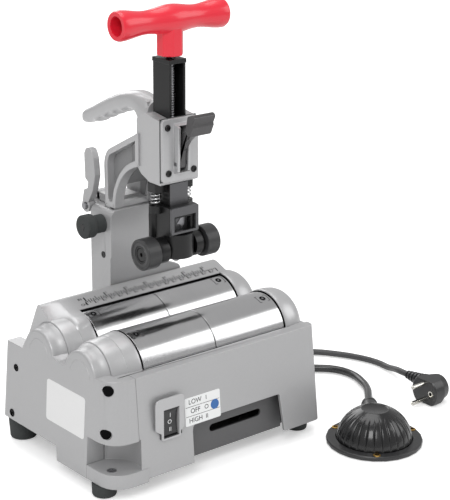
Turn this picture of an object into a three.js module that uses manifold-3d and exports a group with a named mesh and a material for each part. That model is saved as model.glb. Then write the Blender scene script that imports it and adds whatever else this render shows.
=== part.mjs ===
// Electric pipe cutter with two driven rollers, a swing-up cutting head and an air foot pedal.
// Millimetres. While the pieces are made, X runs along the rollers with 0 at the seam between
// their sleeves, Y runs to the back with 0 midway between the rollers, and Z is 0 on the floor.
// The last section moves the whole group so that its origin is under the middle of its box.
import * as THREE from 'three';
import { mergeVertices } from 'three/addons/utils/BufferGeometryUtils.js';
import Module from 'manifold-3d';

const wasm = await Module();
wasm.setup();

// Named clearances: two seated pieces, a running fit, and how far a cut runs past a wall
const SEAT = 0.3;
const RUN = 0.5;
const OVER = 1;
const MERGE = 1e-4;
const HALF = 0.5;
const TURN = 2 * Math.PI;

// Driving dimensions: the base, from the rollers outwards
const roller = {
  r: 35, y: 36.2, z: 112.5, end: 91, shaft: 12, journal: 10, screwR: 3, screwDeep: 4, screwX: 81.5,
};
const base = {
  left: -126, right: 122, rightTop: 118, front: -96, frontTop: -87, back: 103, backTop: 97.5,
  low: 16, high: 121, deck: 104, wall: 4, corner: 8, ledgeBack: -75.3, shelf: 6, shelfEnd: 2,
};
const cutOut = {
  left: -47.6, right: 72.6, rightTop: 66.6, top: 58, corner: 9, rightCorner: 3, under: 8, back: -80.5,
};
const pillar = {
  seamX: -113, backY: -76, bottom: 57, pocketX: -137, pocketY: -80, pocketR: 29, corner: 28,
  core: 7, coreFront: 4, coreBack: 5, holeR: 5.1, holeLong: 16, lap: 20,
};
const pillarHoles = [{ x: -139.6, y: -80.5, z: 112 }, { x: -142.6, y: -79.5, z: 68 }];
const pad = { left: -148, top: 28, low: 13, legY: -52, over: 1, right: 8 };
const feet = [
  { name: 'foot_front_left', x: -138, y: -68, r: 12.2, rTop: 12.5, top: 12.7, padR: 16, padTop: 28 },
  { name: 'foot_front_right', x: 111, y: -70, r: 11.2, rTop: 12, top: 12.7, padR: 19, padTop: 28 },
  { name: 'foot_rear_left', x: -126, y: 95, r: 14, rTop: 15.5, top: 25.2, padR: 15.5, padTop: 28 },
  { name: 'foot_rear_right', x: 104, y: 86, r: 11.2, rTop: 12, top: 12.7, padR: 15, padTop: 30 },
];
const footEdge = { inset: 1.5, up: 2 };
const web = {
  inner: 96, outer: 106, r: 28, bearingR: 22, bearingIn: 97, bearingOut: 105, front: 12, back: 10,
    floor: 4.1, lap: 1,
};
const endCap = {
  outer: -141, outerLow: -148, zHigh: 138, zLow: 28, wall: 2.9, legLow: 12.5, lip: 2, noseRoot: -136,
    plan: 0.6, over: 10,
  back: 101, backHigh: 98, backZ: 104, shoulderY: 94, shoulderZ: 112, shoulderIn: 66, noseY: 36, noseZ: 113,
  noseR: 26, rootR: 30, rootRise: 0.2, saddleBack: 3, saddleFront: -9, saddleZ: 117, topIn: -66,
    topOut: -87,
  frontLow: -97, front: -96.5, sideOff: 1, draftFront: 10.4, draftBack: 6, pillarZ: 110, rearCorner: 10,
    holeR: 3.2,
};
const endHoles = [{ y: 76, z: 87 }, { y: 82, z: 36 }];
const cover = {
  high: 157.5, wall: 3.6, front: -75, back: 79.5, right: 116.5, low: 117, rim: 119.8, rimBack: -60,
  slotLeft: -92, slotRight: 91.6, slotFront: -71.9, slotRear: 35.8, over: 9, top: 162.5, behind: 90,
};
const deck = {
  left: -108, right: 100, rightEnd: 118.5, front: 4, back: 86, high: 157.6, innerLeft: -104, innerRight: 97,
};
const barrel = {
  rootR: 31, kneeR: 35, r: 37, kneeX: -108, right: 94, shoulderX: 107, shoulderR: 36, domeX: 116, tipR: 22,
  tipX: 120, endX: 121,
};
const gear = {
  toothSize: 2, driven: 20, drive: 25, left: -137.2, right: -129.4, addShare: 0.8, dedShare: 1.1, shaftR: 7,
  shaftEnd: 11.5,
};
const motor = {
  r: 27.5, z: 49, left: -94, right: 50, capR: 21, capEnd: 58, neckR: 12, edgeR: 3, edgeX: 4, shoeY: 19,
    shoeHigh: 14,
  shoeLong: 18, boxY: 26, boxHigh: 99, boxLow: 5, boxGap: 0.8, neckOut: 3, hubEnd: 13,
};
const motorShoes = [{ x: -60 }, { x: 20 }];
const plate = { right: 115.5, back: 96, front: -79.2, up: 1, thick: 2.8, footR: 17, corner: 9, leg: 8 };
const panel = {
  left: -52, right: 78, thick: 2, low: 15, high: 63, slotLeft: -13.5, slotRight: 46, slotZ: 39.5,
  slotR: 4.2,
};

// Driving dimensions: the switch
const rocker = { x0: -85, x1: -67.5, z0: 54, z1: 81, dish: 3, crown: 1.6, back: 2.4, heel: 2 };
const bezel = {
  x0: -95.5, x1: -60, z0: 50.5, z1: 95, proud: 4, sink: 2.1, side: 2.6, end: 1.6, deep: 7, wellDeep: 5.5,
  gapZ: 1.5,
};
const switchHole = { side: 3, low: 2, high: 3, deep: 9 };

// Driving dimensions: the bracket and what turns on it
const bracket = {
  kneeZ: 155.9, footY: 86.9, left: -33, right: 25, front: 62, back: 98.5, top: 236, plate: 5, cheek: 6,
    foot: 104.3,
  tail: 58, roof: 10, sideRoof: 26, kneeOver: 2, screwR: 3, screwY: 76, screwDrop: 50, screwDeep: 3,
};
const pivot = {
  y: 107, z: bracket.top, drop: 4, r: 7, pinR: 3.5, left: -35.5, right: 19.5, earWide: 6, earLeft: -25,
  earRight: 13,
};
pivot.z = bracket.top - pivot.drop;
const ear = { inset: 2, low: 8, under: 6.5, top: 0.4 };
const plunger = {
  y: 78, z: bracket.top, drop: 16, discR: 12.5, neckR: 9.7, pinR: 3.5, tip: -26.2, end: -57.5, discIn: -46,
  edge: 1.5,
};
plunger.z = bracket.top - plunger.drop;
const lug = { left: -25.8, right: -19.2, front: 0.6, back: 84, deep: 12, y0: 74, y1: 82, long: 24 };
const hook = { left: -33, right: -25.5, front: 89, back: 112, up: 4, tall: 60 };

// Driving dimensions: the cutting head, stacked upwards from the foot of the ram
const ram = {
  x: 11.5, y0: -10, y1: 14.5, low: 199.5, toe: 1.5, flangeX: 24, flangeY0: -4, flangeY1: 12,
    flangeThick: 9.1,
  corner: 3, slot: 1, slotUp: 3,
};
const cutter = {
  r: 11.5, y: -2, up: 5, half: 1.5, hubR: 5, pinR: 3, rim: 3, rimHalf: 0.5, guard: 3, guardUp: 8,
};
cutter.z = ram.low + cutter.up;
const wheel = {
  r: 16.2, y: -5.4, up: 9.8, near: 29.6, far: 45.6, boreR: 4.3, faceR: 12.9, faceEdge: 1, faceDip: 2,
    hubR: 7.5, hubDip: 5,
  pinR: 4, collarR: 6.5, headR: 6.8, headDip: 1.5, socketR: 2.4, socketDeep: 3.5, rootX: 12.2,
};
wheel.z = ram.low + wheel.up;
const carriage = {
  x: 17.2, y0: -17, y1: 18, noseY: -6, nose: 25, body: 29, fit: 0.4, seatR: 7, seatHigh: 8, postR: 5,
    postUp: 18, postY: 11,
  postIn: 1, plateThick: 3, plateUp: 1.5, plateCorner: 1.5, windowX: 13.5, windowUp: 4, windowTop: 9,
    holeX: 9.5,
  holeUp: 3, holeTop: 12,
};
carriage.low = ram.low + ram.toe;
carriage.waist = carriage.low + carriage.nose;
carriage.high = carriage.waist + carriage.body;
const spring = { x: 19, y: 3, wire: 1.8, r: 4.8, long: 13.5, curls: 3, steps: 8, sides: 5 };
ram.flangeLow = carriage.high + spring.long;
ram.high = ram.flangeLow + ram.flangeThick;
const head = {
  half: 23, front: -12, back: 29, tall: 65, crown: 4, boreX: 10.5, boreY0: -8.9, boreY1: 19, boreOver: 20,
};
head.low = ram.high + SEAT;
head.high = head.low + head.tall;
const arm = {
  left: -25, root: 24, back: 84, rise: 48, pocket: 9, web: 12, legIn: 17, cheekIn: 19.5, cheekFront: 44,
    cheekBack: 107, cheekUp: 55,
  gapY0: 50, gapY1: 90, gapUp: 26, linkLeft: -18.7, linkRight: 12.7, linkY: 66, footBack: 83, footUp: 10,
    heelY: 6, heelBack: 6.4,
  rightPocket: 3, corner: 3,
};
const grip = {
  tip: 150, under: 32, over: 17, half: 13, cutHalf: 40, cutBack: 170, cutFront: -20, tipNarrow: 9,
  tipY: 130, wideY: 20, lap: 10,
};
const facing = {
  x0: -25, x1: 19, y: -16, up: 4, over: 3, corner: 4, humpX0: -11, humpX1: 5, humpY: -24, slotX0: -8,
  slotX1: 2, slotUp: 14, slotDown: 4,
};
const nut = { up: 22, long: 20, x: 6, y0: -9.2, y1: 1.5, windowX: 8.5, windowUp: 14, windowDown: 5 };
nut.low = head.low + nut.up;
nut.high = nut.low + nut.long;
const lever = {
  y: -18.5, r: 1.8, x0: -6.5, x1: 0.5, front: -40, up: 17.5, stemTall: 49.5, paddleX0: -11.5, paddleX1: 15,
  paddleY0: -50, paddleY1: -35, paddleUp: 53, paddleTall: 24, pinX0: -10.6, pinX1: 4.6,
};
const column = { x: 10, y0: -8.5, y1: 18.5, wall: 2.5, rise: 55, cap: 4.3, capOver: 0.6 };
column.low = ram.high + SEAT + SEAT;
column.high = head.high + column.rise;
column.capHigh = column.high + column.cap;
const tee = {
  gap: 2.7, reach: 35, y: 3.5, halfLength: 65, r: 13.25, swell: 1.75, wave: 62, hole: 9.5, holeDepth: 26,
  stem: 12.5, edge: 2.5, endIn: 3,
};
tee.low = column.capHigh + tee.gap;
tee.z = tee.low + tee.reach;
const screw = { y: tee.y, r: 5, up: 12, edgeR: 1, edgeZ: 1.5 };
screw.low = head.low + screw.up;
screw.high = tee.low - SEAT;

// Driving dimensions: the pedal, the cords and the plug
const pedal = {
  x: 151.8, y: -146.7, flange: 50.7, well: 40.6, thick: 5, floor: 1, dome: 39.8, cap: 14.6, high: 37,
    wall: 3, edge: 1,
  holeR: 2.4, holeRing: 45.4, bulge: 15, capStep: 2, capDrop: 1.2, crownIn: 13, crownDrop: 5,
};
const mains = { d: 7, exitY: 85, exitZ: 26, reliefEnd: 147, flangeR: 8 };
const hose = { d: 8.5, exitX: 60, exitZ: 26.5, reliefEnd: 123, flangeR: 8.5 };
const gland = { off: 0.2, depth: 9, neck: 1.5, lip: 3, coneR: 3, coneX: 4, tipR: 0.8, hole: 2, wallIn: 12 };
const fitting = { lip: 4, coneR: 2.5, coneY: 5, tipR: 1 };
const plug = {
  x: 262, y: -112, z: 14.5, r: 18.5, flat: 13.7, deep: 14, back: 28, pinR: 2.4, pinGap: 9.5, pinLong: 19,
    exit: 21,
  edge: 1, waistR: 2.5, waistX: 2, neckR: 4, neckX: 3, tailR: 8, reliefR: 8.5, reliefStep: 1,
    reliefIn: 4, reliefLong: 27,
  pinEdge: 1.5, pinRoot: 2, earthR: 2.8, earthY: 10, earthDeep: 10,
};

// Outlines as shares of a piece's box: across, up, and where it is round the corner as a share across
const beamShares = [
  [0, 1], [0.9117, 0.6767, 0.1], [1, 0.5429, 0.1], [0.9833, 0], [0.7, 0], [0.665, 0.1717, 0.0667],
  [0.55, 0.3534, 0.1333], [0.3333, 0.5095, 0.1333], [0, 0.6132],
];
const pocketShares = [
  [0.1, 0.8885, 0.05], [0.85, 0.621, 0.05], [0.9083, 0.5318, 0.05], [0.8917, 0.0747, 0.05],
  [0.775, 0.0747, 0.05], [0.7333, 0.2196, 0.05], [0.6, 0.4091, 0.05], [0.3667, 0.5764, 0.05],
  [0.1, 0.6656, 0.05],
];
const cheekShares = [
  [0, 0.7945], [0.0317, 0, 0.0317], [0.9524, 0], [1, 0.1764, 0.0476], [0.7302, 0.4673, 0.127],
  [0.6032, 1],
];
const blockShares = [
  [0, 0, 0.0732], [0, 0.942, 0.0976], [0.6829, 1, 0.0732], [1, 0.8986, 0.0732], [1, 0.1884],
  [0.8293, 0.087, 0.0976], [0.4878, 0, 0.0976],
];
const gripShares = [
  [0, 0.9184, 0.0317], [0.2437, 1, 0.0952], [0.4921, 0.8265, 0.0794], [0.7302, 0.551, 0.0794],
  [1, 0.2245, 0.0476], [0.9921, 0.0408, 0.0397], [0.8968, 0, 0.0397], [0.8016, 0.1122, 0.0317],
  [0.754, 0.102, 0.0238], [0.6825, 0.2449, 0.0317], [0.6349, 0.2347, 0.0238], [0.5635, 0.3776, 0.0317],
  [0.5079, 0.3776, 0.0238], [0.4365, 0.5, 0.0317], [0.381, 0.5, 0.0238], [0.2857, 0.6122, 0.0476],
  [0.1984, 0.5918, 0.0556], [0.1508, 0.3367, 0.0317], [0.1587, 0.0204], [0, 0.102],
];
const humpShares = [
  [1, 0.125], [0.1875, 0.1562, 0.25], [0, 0.875, 0.25], [1, 0.9219],
];
const stemShares = [
  [1, 0, 0.0328], [1, 0.4949, 0.0328], [0.8525, 0.6162, 0.0656], [0.2295, 0.8384, 0.0656],
  [0.1311, 1, 0.0328], [0, 1, 0.0328], [0, 0.7576, 0.0656], [0.3279, 0.596, 0.0656],
  [0.6098, 0.3535, 0.0656], [0.6361, 0, 0.0328],
];
const paddleShares = [
  [1, 0.125, 0.2], [0.8, 0.875, 0.2], [0.2667, 1, 0.2], [0, 0.875, 0.1333], [0.2667, 0.5833, 0.0667],
  [0.2333, 0.4583, 0.0667], [0.5333, 0, 0.2],
];
const hookShares = [
  [0.5652, 0.0167], [0.2174, 0.2333, 0.1739], [0, 0.5333, 0.2609], [0.087, 0.8333, 0.2609],
  [0.2609, 0.9833, 0.1739], [0.6522, 1, 0.2174], [0.8261, 0.8833, 0.1304], [0.7826, 0.4333, 0.087],
  [0.5652, 0.3833, 0.0435], [0.6087, 0.2667, 0.0435], [0.913, 0.2167, 0.087], [1, 0],
];
const bracketShares = [
  [0, 0], [1, 0], [1, 0.4229, 0.0879], [0.7363, 0.4989, 0.1319], [0.6374, 0.6963, 0.1099],
  [0.6374, 1, 0.033], [0, 1, 0.1099],
];
const deckShares = [
  [0, 0], [0, 0.2383], [0.0561, 0.4728], [0.1415, 0.7186], [0.2439, 0.8124], [0.3878, 0.8518],
  [0.622, 0.9925], [0.6707, 1], [0.7012, 0.9512], [1, 0],
];
const deckLeftShares = [
  [0, 0], [0, 0.2101], [0.061, 0.2477], [0.1402, 0.3508], [0.2439, 0.4822], [0.3878, 0.6698],
  [0.622, 0.9812], [0.6707, 0.9887], [0.7012, 0.94], [1, 0],
];
const deckRightShares = [
  [0, 0], [0, 0.182], [0.0561, 0.3321], [0.1415, 0.4447], [0.2439, 0.4822], [0.3878, 0.5009],
  [0.5488, 0.5385], [0.6098, 0.5291], [0.6585, 0.4822], [0.9268, 0],
];
const deckInsideShares = [
  [0.0488, -0.0188], [0.0488, 0.2383], [0.1024, 0.4371], [0.1756, 0.6548], [0.2683, 0.7411],
  [0.3963, 0.7805], [0.6341, 0.9174], [0.6585, 0.8949], [0.9268, -0.0188],
];
const bezelShares = [
  [0, 1, 0.169], [1, 1, 0.169], [1, 0.2135, 0.0563], [0.8732, 0.1236, 0.0563], [0.8732, 0, 0.0563],
  [0.2113, 0, 0.0563], [0.2113, 0.1685, 0.0563], [0, 0.2809, 0.0845],
];

// Finishes as the photograph shows them
const finish = (colour, roughness, metalness) => () => new THREE.MeshStandardMaterial({ color: colour,
  roughness, metalness });
const casting = finish('#b9babb', 0.5, 0.35);
const polished = finish('#c9cacb', 0.2, 1.0);
const steel = finish('#8f9092', 0.35, 0.9);
const blackened = finish('#2b2c2e', 0.45, 0.6);
const darkRubber = finish('#3c3d3f', 0.75, 0.0);
const blackPlastic = finish('#2d2e30', 0.4, 0.0);
const redPlastic = finish('#e22c3c', 0.35, 0.0);
const greyPaint = finish('#666768', 0.5, 0.2);
const leverGrey = finish('#6f6a6a', 0.4, 0.6);
const cordBlack = finish('#4a4a4a', 0.5, 0.0);

// Shape helpers
const AXIS = {
  x: new THREE.Matrix4().set(0, 0, 1, 0, 1, 0, 0, 0, 0, 1, 0, 0, 0, 0, 0, 1),
  y: new THREE.Matrix4().set(1, 0, 0, 0, 0, 0, -1, 0, 0, 1, 0, 0, 0, 0, 0, 1),
  z: new THREE.Matrix4(),
};
const SPIN = {
  x: new THREE.Matrix4().set(0, 1, 0, 0, 0, 0, 1, 0, 1, 0, 0, 0, 0, 0, 0, 1),
  y: new THREE.Matrix4(),
  z: new THREE.Matrix4().set(0, 0, 1, 0, 1, 0, 0, 0, 0, 1, 0, 0, 0, 0, 0, 1),
};

function toSolid(geometry) {
  const bare = geometry.clone();
  bare.deleteAttribute('normal');
  bare.deleteAttribute('uv');
  const merged = mergeVertices(bare, MERGE);
  const points = merged.attributes.position;
  const corners = [0, 1, 2].map(() => new THREE.Vector3());
  const faces = [];
  let volume = 0;
  for (let i = 0; i < merged.index.count; i += 3) {
    const face = [0, 1, 2].map((k) => merged.index.getX(i + k));
    if (new Set(face).size < 3) continue;
    face.forEach((vertex, k) => corners[k].fromBufferAttribute(points, vertex));
    volume += corners[0].dot(corners[1].clone().cross(corners[2]));
    faces.push(face);
  }
  if (volume < 0) faces.forEach((face) => face.reverse());
  return new wasm.Manifold(new wasm.Mesh({
    numProp: 3,
    vertProperties: new Float32Array(points.array),
    triVerts: new Uint32Array(faces.flat()),
  }));
}

function join(...solids) {
  return solids.reduce((sum, next) => sum.add(next));
}

function cut(solid, ...tools) {
  return tools.reduce((rest, tool) => rest.subtract(tool), solid);
}

function box(x0, x1, y0, y1, z0, z1) {
  const geometry = new THREE.BoxGeometry(x1 - x0, y1 - y0, z1 - z0);
  geometry.translate((x0 + x1) * HALF, (y0 + y1) * HALF, (z0 + z1) * HALF);
  return toSolid(geometry);
}

// Rounds the corners of an outline whose points are [a, b] or [a, b, radius].
function soften(points, steps = 3) {
  const rounded = [];
  points.forEach(([a, b, radius], i) => {
    if (!radius) {
      rounded.push([a, b]);
      return;
    }
    const here = new THREE.Vector2(a, b);
    const last = points[(i + points.length - 1) % points.length];
    const next = points[(i + 1) % points.length];
    const back = new THREE.Vector2(last[0] - a, last[1] - b).normalize();
    const ahead = new THREE.Vector2(next[0] - a, next[1] - b).normalize();
    const halfAngle = Math.acos(THREE.MathUtils.clamp(back.dot(ahead), -1, 1)) * HALF;
    const reach = radius / Math.tan(halfAngle);
    const from = here.clone().addScaledVector(back, reach);
    const to = here.clone().addScaledVector(ahead, reach);
    const curve = new THREE.QuadraticBezierCurve(from, here, to);
    curve.getPoints(steps).forEach((p) => rounded.push([p.x, p.y]));
  });
  return rounded;
}

function arc(cx, cy, r, from, to, steps) {
  return Array.from({ length: steps + 1 }, (_, i) => {
    const angle = THREE.MathUtils.degToRad(from + ((to - from) * i) / steps);
    return [cx + r * Math.cos(angle), cy + r * Math.sin(angle)];
  });
}

function prismGeometry(outline, axis, from, to) {
  const shape = new THREE.Shape(outline.map(([a, b]) => new THREE.Vector2(a, b)));
  const geometry = new THREE.ExtrudeGeometry(shape, { depth: to - from, bevelEnabled: false });
  geometry.translate(0, 0, axis === 'y' ? -to : from);
  return geometry.applyMatrix4(AXIS[axis]);
}

// Outlines are (y, z) along x, (x, z) along y and (x, y) along z.
function prism(outline, axis, from, to) {
  return toSolid(prismGeometry(outline, axis, from, to));
}

// A prism along x whose outline changes from one end to the other, point by point.
function loftX(outlineFrom, outlineTo, from, to) {
  const geometry = prismGeometry(outlineFrom, 'x', from, to);
  const places = geometry.attributes.position;
  for (let i = 0; i < places.count; i += 1) {
    if (Math.abs(places.getX(i) - to) > MERGE) continue;
    const y = places.getY(i);
    const z = places.getZ(i);
    const match = outlineFrom.findIndex(([a, b]) => Math.hypot(a - y, b - z) < MERGE);
    places.setXYZ(i, to, outlineTo[match][0], outlineTo[match][1]);
  }
  return toSolid(geometry);
}

// A prism along z whose points are moved afterwards, for walls with draft.
function drafted(outline, z0, z1, move) {
  const geometry = prismGeometry(outline, 'z', z0, z1);
  const places = geometry.attributes.position;
  for (let i = 0; i < places.count; i += 1) {
    const [x, y] = move(places.getX(i), places.getY(i), places.getZ(i));
    places.setXY(i, x, y);
  }
  return toSolid(geometry);
}

// A turned solid: profile points are [radius, place along the axis].
function turnedGeometry(profile, axis, centre, sides) {
  const geometry = new THREE.LatheGeometry(profile.map(([r, along]) => new THREE.Vector2(r, along)), sides);
  geometry.applyMatrix4(SPIN[axis]);
  const [p, q] = centre;
  const shift = { x: [0, p, q], y: [p, 0, q], z: [p, q, 0] }[axis];
  return geometry.translate(...shift);
}

function turned(profile, axis, centre, sides = 20) {
  return toSolid(turnedGeometry(profile, axis, centre, sides));
}

function rod(axis, r, from, to, centre, sides = 16) {
  return turned([[0, from], [r, from], [r, to], [0, to]], axis, centre, sides);
}

function ring(axis, rIn, rOut, from, to, centre, sides = 20) {
  return turned([[rIn, from], [rOut, from], [rOut, to], [rIn, to], [rIn, from]], axis, centre, sides);
}

const group = new THREE.Group();
group.name = 'electric_pipe_cutter';

function add(name, shape, material) {
  let geometry = shape;
  if (!shape.isBufferGeometry) {
    const data = shape.getMesh();
    geometry = new THREE.BufferGeometry();
    geometry.setAttribute('position', new THREE.BufferAttribute(new Float32Array(data.vertProperties), 3));
    geometry.setIndex(Array.from(data.triVerts));
    geometry.computeVertexNormals();
  }
  const mesh = new THREE.Mesh(geometry, material());
  mesh.name = name;
  group.add(mesh);
}

// Places a table of shares in a box, as [a, b, corner radius].
function placed(shares, [low, high, bottom, top]) {
  return shares.map(([across, up, corner = 0]) => [
    low + (high - low) * across, bottom + (top - bottom) * up, (high - low) * corner,
  ]);
}

// The two ends of a piece that is mirrored to the side with the given sign, in rising order
function ends(side, near, far) {
  return [side * near, side * far].sort((a, b) => a - b);
}

// Base casting: drafted walls, cut-out at the front, webs for the roller bearings
const rollerAxes = { front: [-roller.y, roller.z], rear: [roller.y, roller.z] };

function baseDraft(x, y, z) {
  const share = (z - base.low) / (base.high - base.low);
  const front = base.front + (base.frontTop - base.front) * share;
  const back = base.back + (base.backTop - base.back) * share;
  const along = (y - base.front) / (base.back - base.front);
  const right = (x - base.left) / (base.right - base.left);
  return [x + right * (base.rightTop - base.right) * share, front + along * (back - front)];
}

function basePlan(inset) {
  const { left, right, front, back, corner } = base;
  const reach = corner - inset * HALF;
  return soften([
    [left + inset, front + inset, 0], [right - inset, front + inset, reach],
    [right - inset, back - inset, reach], [left + inset, back - inset, 0],
  ]);
}

function webOutline() {
  const { r } = web;
  const [front, back, low, high] = [base.front + web.front, base.back - web.back, base.low + web.floor,
    base.deck - web.lap];
  return [
    [front, low], [back, low], [back, high], ...arc(...rollerAxes.rear, r, -18, 195, 7),
    ...arc(...rollerAxes.front, r, -15, 198, 7), [front, high],
  ];
}

function baseHousing() {
  const { left, right, rightTop, low, high, wall, shelf, shelfEnd } = base;
  const outer = drafted(basePlan(0), low, high, baseDraft);
  const inner = drafted(basePlan(wall), low - wall, high - wall, baseDraft);
  const cornerBlock = join(
    box(left + OVER, pillar.seamX + pillar.core, base.front + pillar.coreBack,
      pillar.backY + pillar.coreBack, low, high - OVER),
    box(left + OVER, pillar.seamX + pillar.core, base.front + pillar.coreFront, pad.legY + shelf, low,
      pillar.bottom + SEAT * pad.right),
  );
  const top = box(left - OVER, right + OVER, base.ledgeBack, base.back + OVER, base.deck, high + OVER);
  const [shelfLow, shelfLeft, shelfRight] = [base.deck - shelf, left + shelfEnd, rightTop - shelfEnd];
  const frontShelf = box(shelfLeft, shelfRight, base.ledgeBack - wall, cover.slotFront, shelfLow,
    base.deck);
  const rearShelf = box(shelfLeft, shelfRight, cover.back - wall, base.backTop, shelfLow, base.deck);
  let shell = join(cut(outer, inner), cornerBlock.intersect(outer));
  shell = join(cut(shell, top), frontShelf.intersect(outer), rearShelf.intersect(outer));
  [-1, 1].forEach((side) => {
    shell = shell.add(prism(webOutline(), 'x', ...ends(side, web.inner, web.outer)));
  });
  shell = cut(shell, box(left - OVER, pillar.seamX, base.front - OVER, pillar.backY, pillar.bottom,
    high + OVER));
  const footPads = feet.slice(1).map(({ x, y, padR, top: footTop, padTop }) => (
    rod('z', padR, footTop + SEAT, padTop, [x, y], 18)));
  const tall = feet[2];
  shell = cut(shell, rod('z', tall.rTop + RUN, 0, tall.top + SEAT, [tall.x, tall.y], 16));
  const padRight = pillar.seamX + pad.right;
  const cornerPad = prism(soften([
    [pad.left, base.front - pad.over, pillar.corner], [padRight, base.front - pad.over, 0],
    [padRight, pad.legY - SEAT, 0], [pad.left, pad.legY - SEAT, 0],
  ], 7), 'z', pad.low, pad.top);
  shell = join(shell, ...footPads, cornerPad);
  shell = cut(shell, rod('z', pillar.pocketR, pad.top, pillar.bottom + OVER, [pillar.pocketX,
    pillar.pocketY], 18));
  shell = cut(shell, prism(soften([
    [cutOut.left, low - cutOut.under, 0], [cutOut.right, low - cutOut.under, 0],
    [cutOut.rightTop, cutOut.top, cutOut.rightCorner], [cutOut.left, cutOut.top, cutOut.corner],
  ]), 'y', base.front - OVER, cutOut.back));
  Object.values(rollerAxes).forEach((axis) => {
    shell = cut(shell, rod('x', roller.shaft + RUN, left - OVER, web.outer + OVER, axis));
    [-1, 1].forEach((side) => {
      shell = cut(shell, rod('x', web.bearingR + SEAT, ...ends(side, web.bearingIn - SEAT,
        web.outer + OVER), axis, 16));
    });
  });
  const driveHole = rod('x', gear.shaftR + OVER, left - OVER, left + wall + OVER, [0, driveZ]);
  const neckHole = rod('x', motor.neckR + OVER, ...ends(-1, web.inner - OVER, web.outer + OVER), [0,
    motor.z]);
  const glandHole = rod('x', mains.d * HALF + gland.hole, right - gland.wallIn, right + OVER,
    [mains.exitY, mains.exitZ], 16);
  const hoseHole = rod('y', hose.d * HALF + gland.hole, base.back - gland.wallIn, base.back + OVER,
    [hose.exitX, hose.exitZ], 16);
  const forSwitch = box(rocker.x0 - switchHole.side, rocker.x1 + switchHole.side, base.front - OVER,
    base.frontTop + switchHole.deep, rocker.z0 - switchHole.low, rocker.z1 + switchHole.high);
  return cut(shell, driveHole, neckHole, glandHole, hoseHole, forSwitch);
}

// Gears: one drive gear meshes with a gear on each roller shaft
gear.drivenR = gear.driven * gear.toothSize * HALF;
gear.driveR = gear.drive * gear.toothSize * HALF;
const driveZ = roller.z - Math.sqrt((gear.drivenR + gear.driveR) ** 2 - roller.y ** 2);
const toothShares = [-0.35, -0.13, 0.13, 0.35];

function gearOutline(teeth, pitchR, toothAngle, [cy, cz]) {
  const step = TURN / teeth;
  const reaches = [-gear.dedShare, gear.addShare, gear.addShare,
    -gear.dedShare].map((share) => share * gear.toothSize);
  const outline = [];
  for (let i = 0; i < teeth; i += 1) {
    toothShares.forEach((share, k) => {
      const angle = toothAngle + step * (i + share);
      outline.push([cy + (pitchR + reaches[k]) * Math.cos(angle),
        cz + (pitchR + reaches[k]) * Math.sin(angle)]);
    });
  }
  return outline;
}

// The angle of one tooth of a driven gear, so that its gap faces the drive gear's nearest tooth.
function matchingTooth([y, z]) {
  const toward = Math.atan2(z - driveZ, y);
  const driveStep = TURN / gear.drive;
  const past = (((toward / driveStep) % 1) + 1) % 1;
  const drivenStep = TURN / gear.driven;
  return toward + Math.PI + past * drivenStep + drivenStep * HALF;
}

function addGearsAndRollers() {
  const driveWheel = prism(gearOutline(gear.drive, gear.driveR, 0, [0, driveZ]), 'x', gear.left,
    gear.right);
  const driveShaft = rod('x', gear.shaftR, gear.left + OVER, base.left + gear.shaftEnd, [0, driveZ]);
  add('drive_gear', driveWheel.add(driveShaft), steel);
  Object.entries(rollerAxes).forEach(([place, axis]) => {
    const blank = prism(gearOutline(gear.driven, gear.drivenR, matchingTooth(axis), axis), 'x',
      gear.left, gear.right);
    add(`${place}_gear`, cut(blank, rod('x', roller.journal + SEAT, gear.left - OVER, gear.right + OVER,
      axis)), steel);
    const [start, shoulder, end] = [gear.left + RUN, gear.right + SEAT + SEAT,
      web.outer + base.wall + OVER];
    add(`${place}_shaft`, turned([
      [0, start], [roller.journal, start], [roller.journal, shoulder], [roller.shaft, shoulder],
        [roller.shaft, end], [0, end],
    ], 'x', axis, 20), steel);
    [[-1, 'left'], [1, 'right']].forEach(([side, name]) => {
      const sleeve = ring('x', roller.shaft + SEAT, roller.r, ...ends(side, SEAT, roller.end), axis, 24);
      const hole = turnedGeometry([[0, roller.r - roller.screwDeep], [roller.screwR,
        roller.r - roller.screwDeep],
        [roller.screwR, roller.r + OVER], [0, roller.r + OVER]], 'z', [0, 0], 10);
      hole.rotateX(THREE.MathUtils.degToRad(16)).translate(side * roller.screwX, ...axis);
      add(`${place}_sleeve_${name}`, cut(sleeve, toSolid(hole)), polished);
      const seat = ends(side, web.bearingIn, web.bearingOut);
      add(`${place}_bearing_${name}`, ring('x', roller.shaft + SEAT, web.bearingR, ...seat, axis, 16),
        steel);
    });
  });
}

// Top cover: sloping rear deck, barrels over the roller ends and a frame around the slot
const deckBottom = base.deck + SEAT;
const deckBox = [deck.front, deck.back, deckBottom, deck.high];

function barrelOver([y, z], shrink, sides) {
  const { rootR, kneeR, r, kneeX, right, shoulderR, shoulderX, domeX, tipR, tipX, endX } = barrel;
  const left = turned([
    [0, base.left + shrink], [rootR - shrink, base.left + shrink], [kneeR - shrink, kneeX], [r - shrink,
      cover.slotLeft],
    [r - shrink, 0], [0, 0],
  ], 'x', [y, z], sides);
  return left.add(turned([
    [0, 0], [r - shrink, 0], [r - shrink, right], [shoulderR - shrink, shoulderX], [rootR - shrink,
      domeX - shrink * HALF],
    [tipR - shrink * HALF, tipX - shrink], [0, endX - shrink],
  ], 'x', [y, z], sides));
}

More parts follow.
